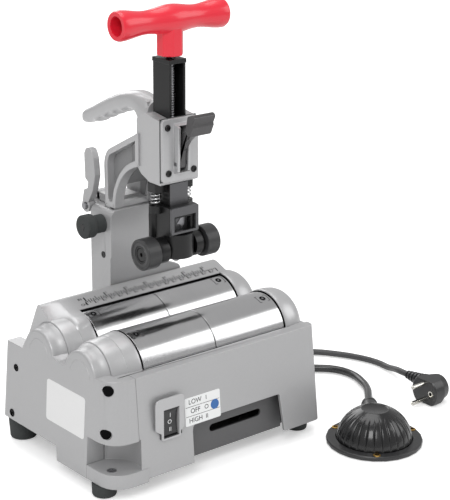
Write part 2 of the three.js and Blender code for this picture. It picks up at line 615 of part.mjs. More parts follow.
function topCover() {
  const { wall, front, back, right, low, rim, rimBack } = cover;
  const { left } = base;
  const above = box(left - OVER, base.right, front, cover.behind, deckBottom, cover.top);
  const skirt = box(left, right, front, back, deckBottom, low);
  const raised = box(left, right, front, rimBack, deckBottom, rim);
  const [line, leftLine, rightLine, inside] = [deckShares, deckLeftShares, deckRightShares,
    deckInsideShares]
    .map((shares) => placed(shares, deckBox));
  const slope = join(
    loftX(leftLine, line, left, deck.left), prism(line, 'x', deck.left, deck.right),
    loftX(line, rightLine, deck.right, deck.rightEnd),
  );
  const underDeck = box(
    cover.slotLeft, cover.slotRight, cover.slotRear + wall, cover.behind, deckBottom - OVER, cover.top + OVER,
  );
  const rounds = Object.values(rollerAxes).map((axis) => barrelOver(axis, 0, 28));
  const barrels = cut(join(...rounds).intersect(above), underDeck);
  const hollows = [
    box(left + wall, right - wall, front + wall, back - wall, deckBottom - OVER, low - wall),
    ...Object.values(rollerAxes).map((axis) => barrelOver(axis, wall, 14)),
    prism(inside, 'x', deck.innerLeft, deck.innerRight),
  ];
  const slot = box(cover.slotLeft, cover.slotRight, cover.slotFront, cover.slotRear, deckBottom - OVER,
    cover.high + cover.over);
  const clear = rod('x', roller.r + RUN, cover.slotLeft, cover.slotRight, rollerAxes.rear, 28);
  const shafts = Object.values(rollerAxes).map((axis) => rod('x', roller.shaft + RUN, left - OVER,
    left + cover.over, axis));
  return cut(join(skirt, raised, slope, barrels), ...hollows, slot, clear, ...shafts);
}

// Left end cover: two noses over the gears, a rounded corner pillar and a leg at the front
function endOutline(r, rise, inset) {
  const c = endCap;
  const legEdge = pad.legY + inset;
  const lean = inset * (c.outer - c.outerLow);
  return [
    [c.back - inset, pad.top + SEAT + inset], [c.backHigh - inset, c.backZ], [c.shoulderY - inset,
      c.shoulderZ - inset],
    [c.shoulderIn, c.shoulderZ + rise - inset], ...arc(c.noseY, c.noseZ, r, 18, 164, 7),
    [c.saddleBack, c.saddleZ + rise - inset], [c.saddleFront, c.saddleZ + rise - inset],
    ...arc(-c.noseY, c.noseZ, r, 16, 164, 7),
    [c.topIn + inset, base.high - inset], [c.topOut + lean / (c.outer - c.outerLow), base.high - inset],
    [c.frontLow + inset, pillar.bottom + SEAT + inset], [legEdge, pillar.bottom + SEAT + inset],
    [legEdge, c.legLow + inset], [-inset, c.legLow + inset], [c.sideOff - inset, pad.top + SEAT + inset],
  ];
}

function slopedFace(shift) {
  const { outer, outerLow, zHigh, zLow, over } = endCap;
  return prism([
    [outer + shift, zHigh + over], [outer + shift, zHigh], [outerLow + shift, zLow], [outerLow + shift, 0],
    [pillar.seamX + pillar.lap, 0], [pillar.seamX + pillar.lap, zHigh + over],
  ], 'y', base.front - over, base.back + over);
}

function leftEndCover() {
  const joint = base.left - SEAT;
  const { outer, outerLow, wall, noseR, rootR, rootRise, noseRoot, lip, zHigh, legLow, plan,
    over } = endCap;
  const body = join(
    prism(endOutline(noseR, 0, 0), 'x', outerLow - lip, noseRoot),
    loftX(endOutline(noseR, 0, 0), endOutline(rootR, rootRise, 0), noseRoot, joint),
  );
  const pillarLow = pillar.bottom + SEAT;
  const cornerWrap = prism([
    [endCap.topIn, base.high], [endCap.topOut, base.high], [endCap.front, pillarLow], [pillar.backY,
      pillarLow],
    [pillar.backY, endCap.pillarZ],
  ], 'x', outerLow - lip, pillar.seamX - SEAT);
  const pillarZone = box(outerLow - lip - OVER, pillar.seamX - SEAT, base.front - over,
    pillar.backY - SEAT, pillar.bottom,
    base.high + OVER);
  const [lapX, left, front] = [pillar.seamX + pillar.lap, outerLow - plan, base.front - plan];
  const wrap = drafted(soften([
    [left, front, pillar.corner], [lapX, front, 0], [lapX, base.back, 0], [left, base.back,
      endCap.rearCorner],
  ], 8), legLow - OVER, zHigh + over, (x, y, z) => {
    const share = (z - legLow) / (zHigh - legLow);
    const along = (y - base.front) / (base.back - base.front);
    return [x + (outer - outerLow) * share,
      y + (1 - along) * endCap.draftFront * share - along * endCap.draftBack * share];
  });
  const shell = join(body, cornerWrap.intersect(pillarZone)).intersect(wrap).intersect(slopedFace(0));
  const hollow = prism(endOutline(noseR - wall, 0, wall), 'x', outerLow, joint + OVER)
    .intersect(slopedFace(wall))
    .intersect(box(outerLow, joint + OVER, pillar.backY + wall, base.back, 0, cover.high));
  const cornerHoles = pillarHoles.map(({ x, y, z }) => {
    const hole = new THREE.CylinderGeometry(pillar.holeR, pillar.holeR, pillar.holeLong, 16);
    return toSolid(hole.rotateZ(THREE.MathUtils.degToRad(-25)).translate(x, y, z));
  });
  const rearHoles = endHoles.map(({ y, z }) => rod('x', endCap.holeR, outerLow - lip, joint + OVER, [y,
    z], 12));
  return cut(shell, hollow, ...cornerHoles, ...rearHoles);
}

function addShells() {
  add('base_housing', baseHousing(), casting);
  add('top_cover', topCover(), casting);
  add('left_end_cover', leftEndCover(), casting);
  const [low, high] = [base.low + plate.up, base.low + plate.up + plate.thick];
  const around = join(
    box(base.left, pillar.seamX + plate.corner, plate.front - OVER, pad.legY + plate.leg, low - OVER,
      high + OVER),
    ...feet.slice(1).map(({ x, y, padR }) => rod('z', Math.max(padR + OVER, plate.footR), low - OVER,
      high + OVER, [x, y], 14)),
  );
  const sheet = box(base.left + base.wall + SEAT, plate.right, plate.front, plate.back, low, high);
  add('bottom_plate', cut(sheet, around), greyPaint);
  const { slotLeft, slotRight, slotZ, slotR } = panel;
  const slotOutline = [...arc(slotRight, slotZ, slotR, -90, 90, 6), ...arc(slotLeft, slotZ, slotR, 90,
    270, 6)];
  const face = plate.front - SEAT;
  add('inner_panel', cut(
    box(panel.left, panel.right, face - panel.thick, face, panel.low, panel.high),
    prism(slotOutline, 'y', face - panel.thick - OVER, face + OVER),
  ), greyPaint);
  feet.forEach(({ name, x, y, r, rTop, top }) => {
    add(name, turned([[0, 0], [r - footEdge.inset, 0], [r, footEdge.up], [rTop, top], [0, top]], 'z', [x,
      y], 16), darkRubber);
  });
}

function addSwitch() {
  const { x0, x1, z0, z1 } = rocker;
  const slope = (base.frontTop - base.front) / (base.high - base.low);
  const face = base.front + slope * ((z0 + z1) * HALF - base.low);
  const out = face - bezel.proud;
  const frame = prism(soften(placed(bezelShares, [bezel.x0, bezel.x1, bezel.z0, bezel.z1])), 'y', out,
    face - bezel.sink);
  const well = box(x0 - SEAT, x1 + SEAT, out - OVER, face + bezel.wellDeep, z0 - OVER, z1 + bezel.gapZ);
  const sleeve = box(x0 - bezel.side, x1 + bezel.side, out + OVER, face + bezel.deep, z0 - bezel.end,
    z1 + bezel.side);
  add('switch_bezel', cut(join(frame, sleeve), well), casting);
  const middle = (z0 + z1) * HALF;
  const lip = out + rocker.crown;
  add('switch_rocker', prism([
    [lip, z0 + RUN], [out + rocker.dish, middle], [lip, z1 - RUN], [face + RUN, z1 - rocker.heel],
    [face + rocker.back, middle], [face + RUN, z0 + rocker.heel],
  ], 'x', x0, x1), blackPlastic);
}

function addMotor() {
  const { left, right, r, edgeR, edgeX, capR, capEnd, z, shoeY, shoeLong, boxY } = motor;
  const can = turned([
    [0, left], [r - edgeR, left], [r, left + edgeX], [r, right - edgeX], [r - edgeR, right], [capR, right],
    [capR, capEnd], [0, capEnd],
  ], 'x', [0, z], 14);
  const neck = rod('x', motor.neckR, -web.outer - motor.neckOut, left + OVER, [0, z]);
  const shoeLow = base.low + web.floor;
  const shoes = motorShoes.map(({ x }) => box(x, x + shoeLong, -shoeY, shoeY, shoeLow,
    base.low + motor.shoeHigh));
  const [boxLeft, boxRight] = [base.left + base.wall + OVER, -web.outer - motor.boxGap];
  const gearbox = box(boxLeft, boxRight, -boxY, boxY, base.low + motor.boxLow, motor.boxHigh);
  const hub = rod('x', gear.shaftR + RUN, base.left + base.wall, base.left + motor.hubEnd, [0, driveZ]);
  add('gearmotor', cut(join(can, neck, ...shoes, gearbox), hub), greyPaint);
}

// Bracket behind the deck that carries the swing-up arm
function addBracket() {
  const { left, right, front, back, top, plate: skin, cheek, foot, tail, kneeZ, footY, kneeOver } = bracket;
  const block = prism(soften(placed(bracketShares, [left, tail, foot, top]), 4), 'y', front,
    back).intersect(prism([
    [front, top], [front, kneeZ], [footY, foot], [back, foot], [back, top],
  ], 'x', left - OVER, tail + OVER));
  const behind = (ceiling) => [
    [front + skin, ceiling], [front + skin, kneeZ + kneeOver], [footY + skin, foot + skin],
    [back + OVER, foot + skin], [back + OVER, ceiling],
  ];
  const inner = prism(behind(top - bracket.roof), 'x', left + cheek, right - cheek);
  const side = prism(behind(top - bracket.sideRoof), 'x', right, tail + OVER);
  const ears = [pivot.earLeft, pivot.earRight].map((from) => join(
    rod('x', pivot.r, from, from + pivot.earWide, [pivot.y, pivot.z], 16),
    prism([
      [back - ear.inset, pivot.z - ear.low], [back - ear.inset, top - RUN], [pivot.y,
        pivot.z + pivot.r - ear.top],
      [pivot.y, pivot.z - ear.under],
    ], 'x', from, from + pivot.earWide),
  ));
  const lugSlot = box(lug.left, lug.right, front + skin + lug.front, lug.back, top - lug.deep, top + OVER);
  const pinHole = rod('x', plunger.pinR + RUN, left - OVER, left + cheek + OVER, [plunger.y, plunger.z]);
  const hingeHole = rod('x', pivot.pinR + SEAT, left - OVER, pivot.right + OVER, [pivot.y, pivot.z]);
  const lockScrew = rod('x', bracket.screwR, left - OVER, left + bracket.screwDeep, [bracket.screwY,
    top - bracket.screwDrop], 12);
  add('bracket', cut(join(block, ...ears), inner, side, lugSlot, pinHole, hingeHole, lockScrew), casting);
  add('hinge_pin', rod('x', pivot.pinR, pivot.left, pivot.right, [pivot.y, pivot.z]), steel);
  const { discR, neckR, pinR, tip, end, discIn, edge } = plunger;
  add('plunger_knob', turned([
    [0, end], [discR - OVER, end], [discR, end + edge], [discR, discIn - OVER], [neckR, discIn], [neckR,
      left - SEAT],
    [pinR, left - SEAT], [pinR, tip], [0, tip],
  ], 'x', [plunger.y, plunger.z], 16), darkRubber);
  const blade = prism(soften(placed(hookShares, [hook.front, hook.back, pivot.z + hook.up,
    pivot.z + hook.up + hook.tall]), 2),
    'x', hook.left, hook.right);
  const hub = rod('x', pivot.r, hook.left, hook.right, [pivot.y, pivot.z], 16);
  const bore = rod('x', pivot.pinR + SEAT, hook.left - OVER, hook.right + OVER, [pivot.y, pivot.z]);
  add('latch_lever', cut(join(blade, hub), bore), casting);
}

// Arm casting: head block, beam on two legs, carry handle and a lug for the plunger
function armBody() {
  const { half, front, back, low, high, crown } = head;
  const { left, root, rise, pocket, web: skin, legIn, cheekIn, linkLeft, linkRight, footUp } = arm;
  const foot = bracket.top + SEAT;
  const block = prism(soften(placed(blockShares, [front, back, low, high + crown])), 'x', -half, half);
  const beamBox = [root, arm.back, foot, low + rise];
  const beam = prism(soften(placed(beamShares, beamBox)), 'x', left, half);
  const inside = soften(placed(pocketShares, beamBox), 2);
  const leftPocket = prism(inside, 'x', left - OVER, left + pocket);
  const rightPocket = prism(inside, 'x', half - arm.rightPocket, half + OVER);
  const between = box(left + skin, legIn, arm.gapY0, arm.gapY1, foot - OVER, foot + arm.gapUp);
  const cheek = prism(soften(placed(cheekShares, [arm.cheekFront, arm.cheekBack, foot,
    foot + arm.cheekUp]), 2),
    'x', cheekIn, half);
  const link = join(
    box(linkLeft, linkRight, arm.linkY, pivot.y, foot, foot + footUp),
    rod('x', pivot.r, linkLeft, linkRight, [pivot.y, pivot.z], 16),
    box(linkLeft, linkRight, pivot.y - arm.heelY, pivot.y + arm.heelBack, pivot.z, foot + footUp - OVER),
  );
  const sideFeet = box(left, half, arm.linkY, arm.footBack, foot, foot + footUp);
  const tongue = box(left, lug.right - OVER, lug.y0, lug.y1, foot - lug.long, foot + lug.deep - footUp);
  const handle = cut(
    prism(soften(placed(gripShares, [root, grip.tip, high - grip.under, high + grip.over]), 2), 'x',
      -grip.half, grip.half),
    ...[-1, 1].map((side) => prism([
      [side * grip.tipNarrow, grip.tipY], [side * (grip.half + OVER), grip.cutBack],
        [side * grip.cutHalf, grip.cutBack],
      [side * grip.cutHalf, grip.cutFront], [side * grip.half, grip.wideY],
    ], 'z', high - grip.under - grip.lap, high + grip.over + grip.lap)),
  );
  const solid = join(block, cut(beam, leftPocket, rightPocket, between), cheek, link, sideFeet, handle,
    tongue);
  const columnBore = box(-head.boreX, head.boreX, head.boreY0, head.boreY1, low - OVER,
    high + head.boreOver);
  const nutWindow = box(-nut.windowX, nut.windowX, front - OVER, head.boreY0 + OVER, low + nut.windowUp,
    high - nut.windowDown);
  const pinBore = rod('x', pivot.pinR + RUN, linkLeft - OVER, linkRight + OVER, [pivot.y, pivot.z]);
  return cut(solid, columnBore, nutWindow, pinBore);
}

function addHead() {
  add('arm', armBody(), casting);
  const { x0, x1, y, up, over, corner, humpX0, humpX1, humpY, slotX0, slotX1, slotUp, slotDown } = facing;
  const [low, high] = [head.low + up, head.high + over];
  const leaf = prism(soften([[x0, low, corner], [x1, low, corner], [x1, high, corner], [x0, high,
    corner]]), 'y', y,
    head.front - SEAT);
  const hump = prism(soften(placed(humpShares, [humpY, y, low, high])), 'x', humpX0, humpX1);
  const slot = box(slotX0, slotX1, humpY - OVER, head.front, head.low + slotUp, head.high - slotDown);
  const axis = [lever.y, nut.low];
  const pinHole = rod('x', lever.r + SEAT, humpX0 - OVER, humpX1 + OVER, axis, 12);
  add('cover_plate', cut(join(leaf, hump), slot, pinHole), casting);
  add('lever_pin', rod('x', lever.r, lever.pinX0, lever.pinX1, axis, 12), steel);
  const stemLow = head.low + lever.up;
  const stem = prism(soften(placed(stemShares, [lever.front, nut.y0 - SEAT, stemLow,
    stemLow + lever.stemTall]), 2),
    'x', lever.x0, lever.x1);
  const paddleLow = head.low + lever.paddleUp;
  const paddle = prism(soften(placed(paddleShares, [lever.paddleY0, lever.paddleY1, paddleLow,
    paddleLow + lever.paddleTall]), 2),
    'x', lever.paddleX0, lever.paddleX1);
  add('quick_lever', cut(join(stem, paddle), pinHole), leverGrey);
  const screwClear = rod('z', screw.r + SEAT, nut.low - OVER, nut.high + OVER, [0, screw.y]);
  add('half_nut', cut(box(-nut.x, nut.x, nut.y0, nut.y1, nut.low, nut.high), screwClear), steel);
}

// Column, feed screw and T-handle
function addColumn() {
  const { x, y0, y1, wall, low, high, capHigh, capOver } = column;
  const channel = prism([
    [-x, y0], [-x + wall, y0], [-x + wall, y1 - wall], [x - wall, y1 - wall], [x - wall, y0], [x, y0],
      [x, y1], [-x, y1],
  ], 'z', low, high + OVER);
  const cap = box(-x - capOver, x + capOver, y0 - capOver, y1 + capOver, high, capHigh);
  add('column', cut(join(channel, cap), rod('z', screw.r + RUN, high - OVER, capHigh + OVER, [0,
    screw.y])), blackened);
  add('feed_screw', turned([
    [0, screw.low], [screw.r - screw.edgeR, screw.low], [screw.r, screw.low + screw.edgeZ], [screw.r,
      screw.high],
    [0, screw.high],
  ], 'z', [0, screw.y], 20), steel);
  const { halfLength, r, swell, wave, hole, holeDepth, edge } = tee;
  const steps = 8;
  const reach = halfLength - tee.endIn;
  const surface = Array.from({ length: steps + 1 }, (_, i) => {
    const along = -reach + (2 * reach * i) / steps;
    return [r + swell * Math.cos((TURN * along) / wave), along];
  });
  const handle = turned([
    [0, -halfLength + holeDepth], [hole, -halfLength + holeDepth], [hole, -halfLength], [hole + edge,
      -halfLength],
    ...surface, [hole + edge, halfLength], [hole, halfLength], [hole, halfLength - holeDepth], [0,
      halfLength - holeDepth],
  ], 'x', [tee.y, tee.z], 14);
  const octagon = Array.from({ length: 8 }, (_, i) => {
    const angle = TURN * ((i + HALF) / 8);
    const corner = tee.stem / Math.cos(TURN / 16);
    return [corner * Math.cos(angle), tee.y + corner * Math.sin(angle)];
  });
  add('tee_handle', handle.add(prism(octagon, 'z', tee.low, tee.z)), redPlastic);
}

// Ram with the cutter wheel, and the sprung carriage with the two guide wheels
function addRam() {
  const { x, y0, y1, low, high, flangeX, flangeY0, flangeY1, flangeLow, corner, slot, slotUp } = ram;
  const post = box(-x, x, y0, y1, low, high);
  const flange = prism(soften([
    [-flangeX, flangeY0, corner], [flangeX, flangeY0, corner], [flangeX, flangeY1, corner], [-flangeX,
      flangeY1, corner],
  ], 3), 'z', flangeLow, high);
  const { r, y, z, half, hubR, pinR, rim, rimHalf } = cutter;
  const bladeSlot = box(-half - slot, half + slot, y0 - OVER, y1 + OVER, low - OVER, z + r + slotUp);
  const pinHole = rod('x', pinR + SEAT, -x - OVER, x + OVER, [y, z]);
  add('ram_post', cut(join(post, flange), bladeSlot, pinHole), steel);
  add('cutter_pin', rod('x', pinR, -x + SEAT, x - SEAT, [y, z]), steel);
  const bore = pinR + SEAT;
  add('cutter_wheel', turned([
    [bore, -half], [hubR, -half], [r - rim, -rimHalf], [r, 0], [r - rim, rimHalf], [hubR, half], [bore,
      half], [bore, -half],
  ], 'x', [y, z], 20), polished);
}

function addCarriage() {
  const { x, y0, y1, waist, high, low, noseY, fit, seatR, seatHigh, postR, postUp, postY,
    postIn } = carriage;
  const upper = box(-x, x, y0, y1, waist - OVER, high);
  const nose = prism([[x, y1], [-x, y1], ...arc(0, noseY, x, 180, 360, 14)], 'z', low, waist);
  const seats = [-1, 1].map((side) => join(
    rod('z', seatR, high - seatHigh, high, [side * spring.x, spring.y], 20),
    rod('z', postR, low + postUp, high - seatHigh + OVER, [side * (x - postIn), postY], 16),
  ));
  const bore = box(-ram.x - fit, ram.x + fit, ram.y0 - fit, ram.y1 + fit, low - OVER, high + OVER);
  const reach = cutter.r + OVER;
  const blade = box(-cutter.guard, cutter.guard, cutter.y - reach, cutter.y + reach, low - OVER,
    cutter.z + cutter.r + cutter.guardUp);
  const window = box(-carriage.holeX, carriage.holeX, y0 - OVER, ram.y0, waist + carriage.holeUp,
    high - carriage.holeTop);
  const axleHole = rod('x', wheel.pinR + SEAT, -x - OVER, x + OVER, [wheel.y, wheel.z]);
  add('carriage', cut(join(upper, nose, ...seats), bore, blade, window, axleHole), blackened);
  const [face, corner, sill] = [y0 - SEAT, carriage.plateCorner, waist + carriage.plateUp];
  add('carriage_front_plate', cut(
    prism(soften([[-x, sill, corner], [x, sill, corner], [x, high, corner], [-x, high, corner]], 2), 'y',
      face - carriage.plateThick, face),
    box(-carriage.windowX, carriage.windowX, face - carriage.plateThick - OVER, y0,
      waist + carriage.windowUp,
      high - carriage.windowTop),
  ), steel);
  [[-1, 'left'], [1, 'right']].forEach(([side, name]) => addGuideWheel(side, name));
}

function addGuideWheel(side, name) {
  const place = (profile) => profile.map(([radius, along]) => [radius, side * along]);
  const axis = [wheel.y, wheel.z];
  const { boreR, r, faceR, faceEdge, faceDip, hubR, hubDip, pinR, collarR, headR, headDip, near, far,
    rootX } = wheel;
  add(`guide_wheel_${name}`, turned(place([
    [boreR, near], [r, near], [r, far], [faceR, far], [faceR - faceEdge, far - faceDip], [hubR,
      far - faceDip],
    [hubR, far - hubDip], [boreR, far - hubDip], [boreR, near],
  ]), 'x', axis, 16), darkRubber);
  const [collar, headIn, headOut] = [carriage.x + SEAT, far - hubDip + SEAT, far - headDip];
  const bolt = turned(place([
    [0, rootX], [pinR, rootX], [pinR, collar], [collarR, collar], [collarR, near - SEAT], [pinR,
      near - SEAT],
    [pinR, headIn], [headR, headIn], [headR, headOut], [0, headOut],
  ]), 'x', axis, 12);
  const socket = rod('x', wheel.socketR, ...ends(side, far - wheel.socketDeep, far), axis, 6);
  add(`guide_axle_${name}`, cut(bolt, socket), steel);
}

// One unbroken tube through a list of centres, closed at both ends, as a plain BufferGeometry
function sweep(centres, radius, sides) {
  const vertices = [];
  const faces = [];
  const up = new THREE.Vector3(0, 0, 1);
  centres.forEach((centre, i) => {
    const before = centres[Math.max(i - 1, 0)];
    const after = centres[Math.min(i + 1, centres.length - 1)];
    const ahead = after.clone().sub(before).normalize();
    const guide = Math.abs(ahead.z) > 0.9 ? centre.outward : up;
    const across = new THREE.Vector3().crossVectors(guide, ahead).normalize();
    const over = new THREE.Vector3().crossVectors(ahead, across);
    for (let k = 0; k < sides; k += 1) {
      const angle = (TURN * k) / sides;
      vertices.push(centre.clone().addScaledVector(across, radius * Math.cos(angle))
        .addScaledVector(over, radius * Math.sin(angle)));
    }
  });
  for (let i = 0; i + 1 < centres.length; i += 1) {
    for (let k = 0; k < sides; k += 1) {
      const [a, b] = [i * sides + k, i * sides + ((k + 1) % sides)];
      faces.push(a, b, b + sides, a, b + sides, a + sides);
    }
  }
  const last = (centres.length - 1) * sides;
  for (let k = 1; k + 1 < sides; k += 1) {
    faces.push(0, k + 1, k, last, last + k, last + k + 1);
  }
  const geometry = new THREE.BufferGeometry();
  geometry.setAttribute('position',
    new THREE.Float32BufferAttribute(vertices.flatMap((v) => v.toArray()), 3));
  geometry.setIndex(faces);
  geometry.computeVertexNormals();
  return geometry;
}

// The least gap between stretches of a wound tube that are more than skip points apart
function leastGap(centres, diameter, skip) {
  let least = Infinity;
  for (let i = 0; i < centres.length; i += 1) {
    for (let k = i + skip; k < centres.length; k += 1) {
      least = Math.min(least, centres[i].distanceTo(centres[k]) - diameter);
    }
  }
  return least;
}

function addSprings() {
  const { wire, r, curls, steps, sides } = spring;
  const low = carriage.high + SEAT;
  const high = ram.flangeLow - SEAT;
  const rise = high - low - 2 * wire;
  [[-1, 'left'], [1, 'right']].forEach(([side, name]) => {
    const at = (angle, z) => {
      const place = new THREE.Vector3(side * spring.x + r * Math.cos(angle),
        spring.y + r * Math.sin(angle), z);
      place.outward = new THREE.Vector3(Math.cos(angle), Math.sin(angle), 0);
      return place;
    };
    const centres = [at(0, low), at(0, low + wire)];
    for (let i = 1; i < curls * steps; i += 1) {
      centres.push(at((TURN * i) / steps, low + wire + (rise * i) / (curls * steps)));
    }
    centres.push(at(0, high - wire), at(0, high));
    if (side < 0) console.log('spring least gap', leastGap(centres.slice(1, -1), wire,
      steps - 2).toFixed(2));
    add(`spring_${name}`, sweep(centres, wire * HALF, sides), polished);
  });
}

// A coil in two layers: the spiral winds in, climbs in half a turn and winds out again.
const coil = { stepsPerTurn: 24, pitchShare: 1.2, layerShare: 1.145 };

function coilCentres({ x, y, d, startDegrees, turns, meanR }) {
  const pitch = coil.pitchShare * d;
  const layer = coil.layerShare * d;
  const oneWay = (turns - HALF) * HALF;
  const inner = meanR - (oneWay * pitch) * HALF;
  const floor = d * HALF + SEAT;
  const count = Math.round(turns * coil.stepsPerTurn);
  const centres = [];
  for (let i = 0; i <= count; i += 1) {
    const t = i / coil.stepsPerTurn;
    const out = Math.max(oneWay - t, t - oneWay - HALF, 0);
    const climbed = THREE.MathUtils.clamp((t - oneWay) / HALF, 0, 1);
    const angle = THREE.MathUtils.degToRad(startDegrees) + TURN * t;
    const r = inner + pitch * out;
    centres.push(new THREE.Vector3(x + r * Math.cos(angle), y + r * Math.sin(angle),
      floor + layer * climbed));
  }
  const first = centres[0].clone().sub(centres[1]).normalize();
  const final = centres[count].clone().sub(centres[count - 1]).normalize();
  first.z = 0;
  final.z = 0;
  centres.unshift(centres[0].clone().addScaledVector(first, d));
  centres.push(centres[count + 1].clone().addScaledVector(final, d));
  return centres;
}

const mainsCoil = { x: 206, y: 135.5, d: mains.d, startDegrees: -90, turns: 6, meanR: 38.5, away: 9 };
const hoseCoil = { x: 4, y: 177, d: hose.d, startDegrees: 0, turns: 3.75, meanR: 47, away: 9, awayIn: 8 };

// A free stretch: from one end to the other through the points chosen by hand.
function freeTube(points, diameter, steps) {
  const curve = new THREE.CatmullRomCurve3(points.map((p) => new THREE.Vector3(...p)), false,
    'centripetal');
  const section = new THREE.Shape(Array.from({ length: 8 }, (_, i) => {
    const angle = (TURN * i) / 8;
    return new THREE.Vector2(diameter * HALF * Math.cos(angle), diameter * HALF * Math.sin(angle));
  }));
  const geometry = new THREE.ExtrudeGeometry(section, { steps, extrudePath: curve, bevelEnabled: false });
  console.log('free stretch', curve.getLength().toFixed(0), 'mm');
  return toSolid(geometry);
}

function leadTo(centres, index, away) {
  const [end, next] = index === 0 ? [centres[0], centres[1]] : [centres.at(-1), centres.at(-2)];
  const direction = end.clone().sub(next).normalize();
  return [end.clone().addScaledVector(direction, SEAT).toArray(),
    end.clone().addScaledVector(direction, away).toArray()];
}

function addCords() {
  const floor = { mains: mains.d * HALF + SEAT, hose: hose.d * HALF + SEAT };
  const wound = { mains: coilCentres(mainsCoil), hose: coilCentres(hoseCoil) };
  Object.entries(wound).forEach(([name, centres]) => {
    const { d } = name === 'mains' ? mains : hose;
    const length = centres.slice(1).reduce((sum, c, i) => sum + c.distanceTo(centres[i]), 0);
    console.log(name, 'coil', length.toFixed(0), 'mm, least gap', leastGap(centres, d, 12).toFixed(2));
    add(`${name}_coil`, sweep(centres, d * HALF, 6), cordBlack);
  });
  const wallX = base.right + gland.off;
  const [glandNeck, glandTip] = [mains.d * HALF + gland.neck, mains.d * HALF + gland.tipR];
  add('mains_gland', turned([
    [0, wallX - gland.depth], [glandNeck, wallX - gland.depth], [glandNeck, wallX], [mains.flangeR, wallX],
    [mains.flangeR, wallX + gland.lip], [mains.d * HALF + gland.coneR, wallX + gland.coneX], [glandTip,
      mains.reliefEnd],
    [0, mains.reliefEnd],
  ], 'x', [mains.exitY, mains.exitZ], 14), blackPlastic);
  const [coilIn, coilInAway] = leadTo(wound.mains, 0, mainsCoil.away);
  add('mains_lead', freeTube([
    [mains.reliefEnd + SEAT, mains.exitY, mains.exitZ], [152, mains.exitY, mains.exitZ], [160,
      mains.exitY, 23.8],
    [168, mains.exitY, 18.2], [175, mains.exitY, 11], [182, mains.exitY, 5.8], coilInAway, coilIn,
  ], mains.d, 5), cordBlack);
  const [mainsOut, mainsOutAway] = leadTo(wound.mains, 1, mainsCoil.away);
  const plugEnd = plug.y + plug.r + plug.reliefLong + SEAT;
  add('mains_run', freeTube([
    mainsOut, mainsOutAway, [229, 85, 8.4], [238, 83.5, 5], [250, 78, floor.mains], [264.3, 68.5,
      floor.mains],
    [279.5, 49, floor.mains], [292.5, 25.2, floor.mains], [299.5, 0, floor.mains], [297, -22, 5],
    [290, -40, 10.5], [284.5, -51, 13.8], [plug.x + plug.exit, plugEnd + mains.d, plug.z],
      [plug.x + plug.exit, plugEnd, plug.z],
  ], mains.d, 14), cordBlack);
  addPlug();
  const wallY = base.back + gland.off;
  const [hoseNeck, hoseTip] = [hose.d * HALF + gland.neck, hose.d * HALF + fitting.tipR];
  add('hose_fitting', turned([
    [0, wallY - gland.depth], [hoseNeck, wallY - gland.depth], [hoseNeck, wallY], [hose.flangeR, wallY],
    [hose.flangeR, wallY + fitting.lip], [hose.d * HALF + fitting.coneR, wallY + fitting.coneY],
      [hoseTip, hose.reliefEnd],
    [0, hose.reliefEnd],
  ], 'y', [hose.exitX, hose.exitZ], 14), blackPlastic);
  const [hoseIn, hoseInAway] = leadTo(wound.hose, 0, hoseCoil.awayIn);
  add('hose_lead', freeTube([
    [hose.exitX, hose.reliefEnd + SEAT, hose.exitZ], [hose.exitX, 128, hose.exitZ], [hose.exitX, 138, 22.5],
    [hose.exitX, 147, 15], [hose.exitX, 155, 8.4], hoseInAway, hoseIn,
  ], hose.d, 5), cordBlack);
  const [hoseOut, hoseOutAway] = leadTo(wound.hose, 1, hoseCoil.away);
  const { away, z, x1, y1 } = pedalNipple;
  add('hose_run', freeTube([
    hoseOut, hoseOutAway, [36, 119.5, 9], [50, 119.5, 5.6], [66, 119.5, floor.hose], [88, 119.5,
      floor.hose],
    [110, 118.5, floor.hose], [130, 107, floor.hose], [165, 81, floor.hose], [200, 54, floor.hose],
    [230.3, 29.5, floor.hose], [246, 12, floor.hose], [250.5, -10, floor.hose], [243, -34, 5.6],
    [229, -57, 8], [212, -76, 10.6], [x1 + away[0] * hose.d, y1 + away[1] * hose.d, z], [x1, y1, z],
  ], hose.d, 24), cordBlack);
}

function addPlug() {
  const { x, y, z, r, flat, deep, back, pinR, pinGap, pinLong, exit, edge, pinEdge, pinRoot, reliefR,
    reliefStep } = plug;
  const body = turned([
    [0, x], [r - edge, x], [r, x + edge], [r, x + deep], [r - plug.waistR, x + deep + plug.waistX],
    [r - plug.neckR, x + back - plug.neckX], [r - plug.tailR, x + back], [0, x + back],
  ], 'x', [y, z], 12).intersect(box(x - OVER, x + back + OVER, y - r - OVER, y + r + OVER, z - flat,
    z + flat));
  const end = y + r + plug.reliefLong;
  const relief = turned([
    [0, y + plug.reliefIn], [reliefR, y + plug.reliefIn], [reliefR, y + r], [reliefR - reliefStep,
      y + r + plug.reliefIn],
    [mains.d * HALF + edge, end], [0, end],
  ], 'y', [x + exit, z], 12).intersect(box(x, x + back + reliefR, y, end + OVER, z - flat, z + flat));
  const tip = x - pinLong;
  const pins = [-1, 1].map((side) => turned([
    [0, tip], [pinR - edge, tip], [pinR, tip + pinEdge], [pinR, x + pinRoot], [0, x + pinRoot],
  ], 'x', [y, z + side * pinGap], 8));
  const earthHole = rod('x', plug.earthR, x - OVER, x + plug.earthDeep, [y - plug.earthY, z], 12);
  add('mains_plug', cut(join(body, relief, ...pins), earthHole), blackPlastic);
}

// Foot pedal: flanged base with a well and a nipple, and the dome that is pressed
const awayShares = [0.638, 0.77];
const pedalNipple = { from: 42, to: 57, r: 8.5, z: 12, away: awayShares };
pedalNipple.x1 = pedal.x + pedalNipple.away[0] * (pedalNipple.to + SEAT);
pedalNipple.y1 = pedal.y + pedalNipple.away[1] * (pedalNipple.to + SEAT);

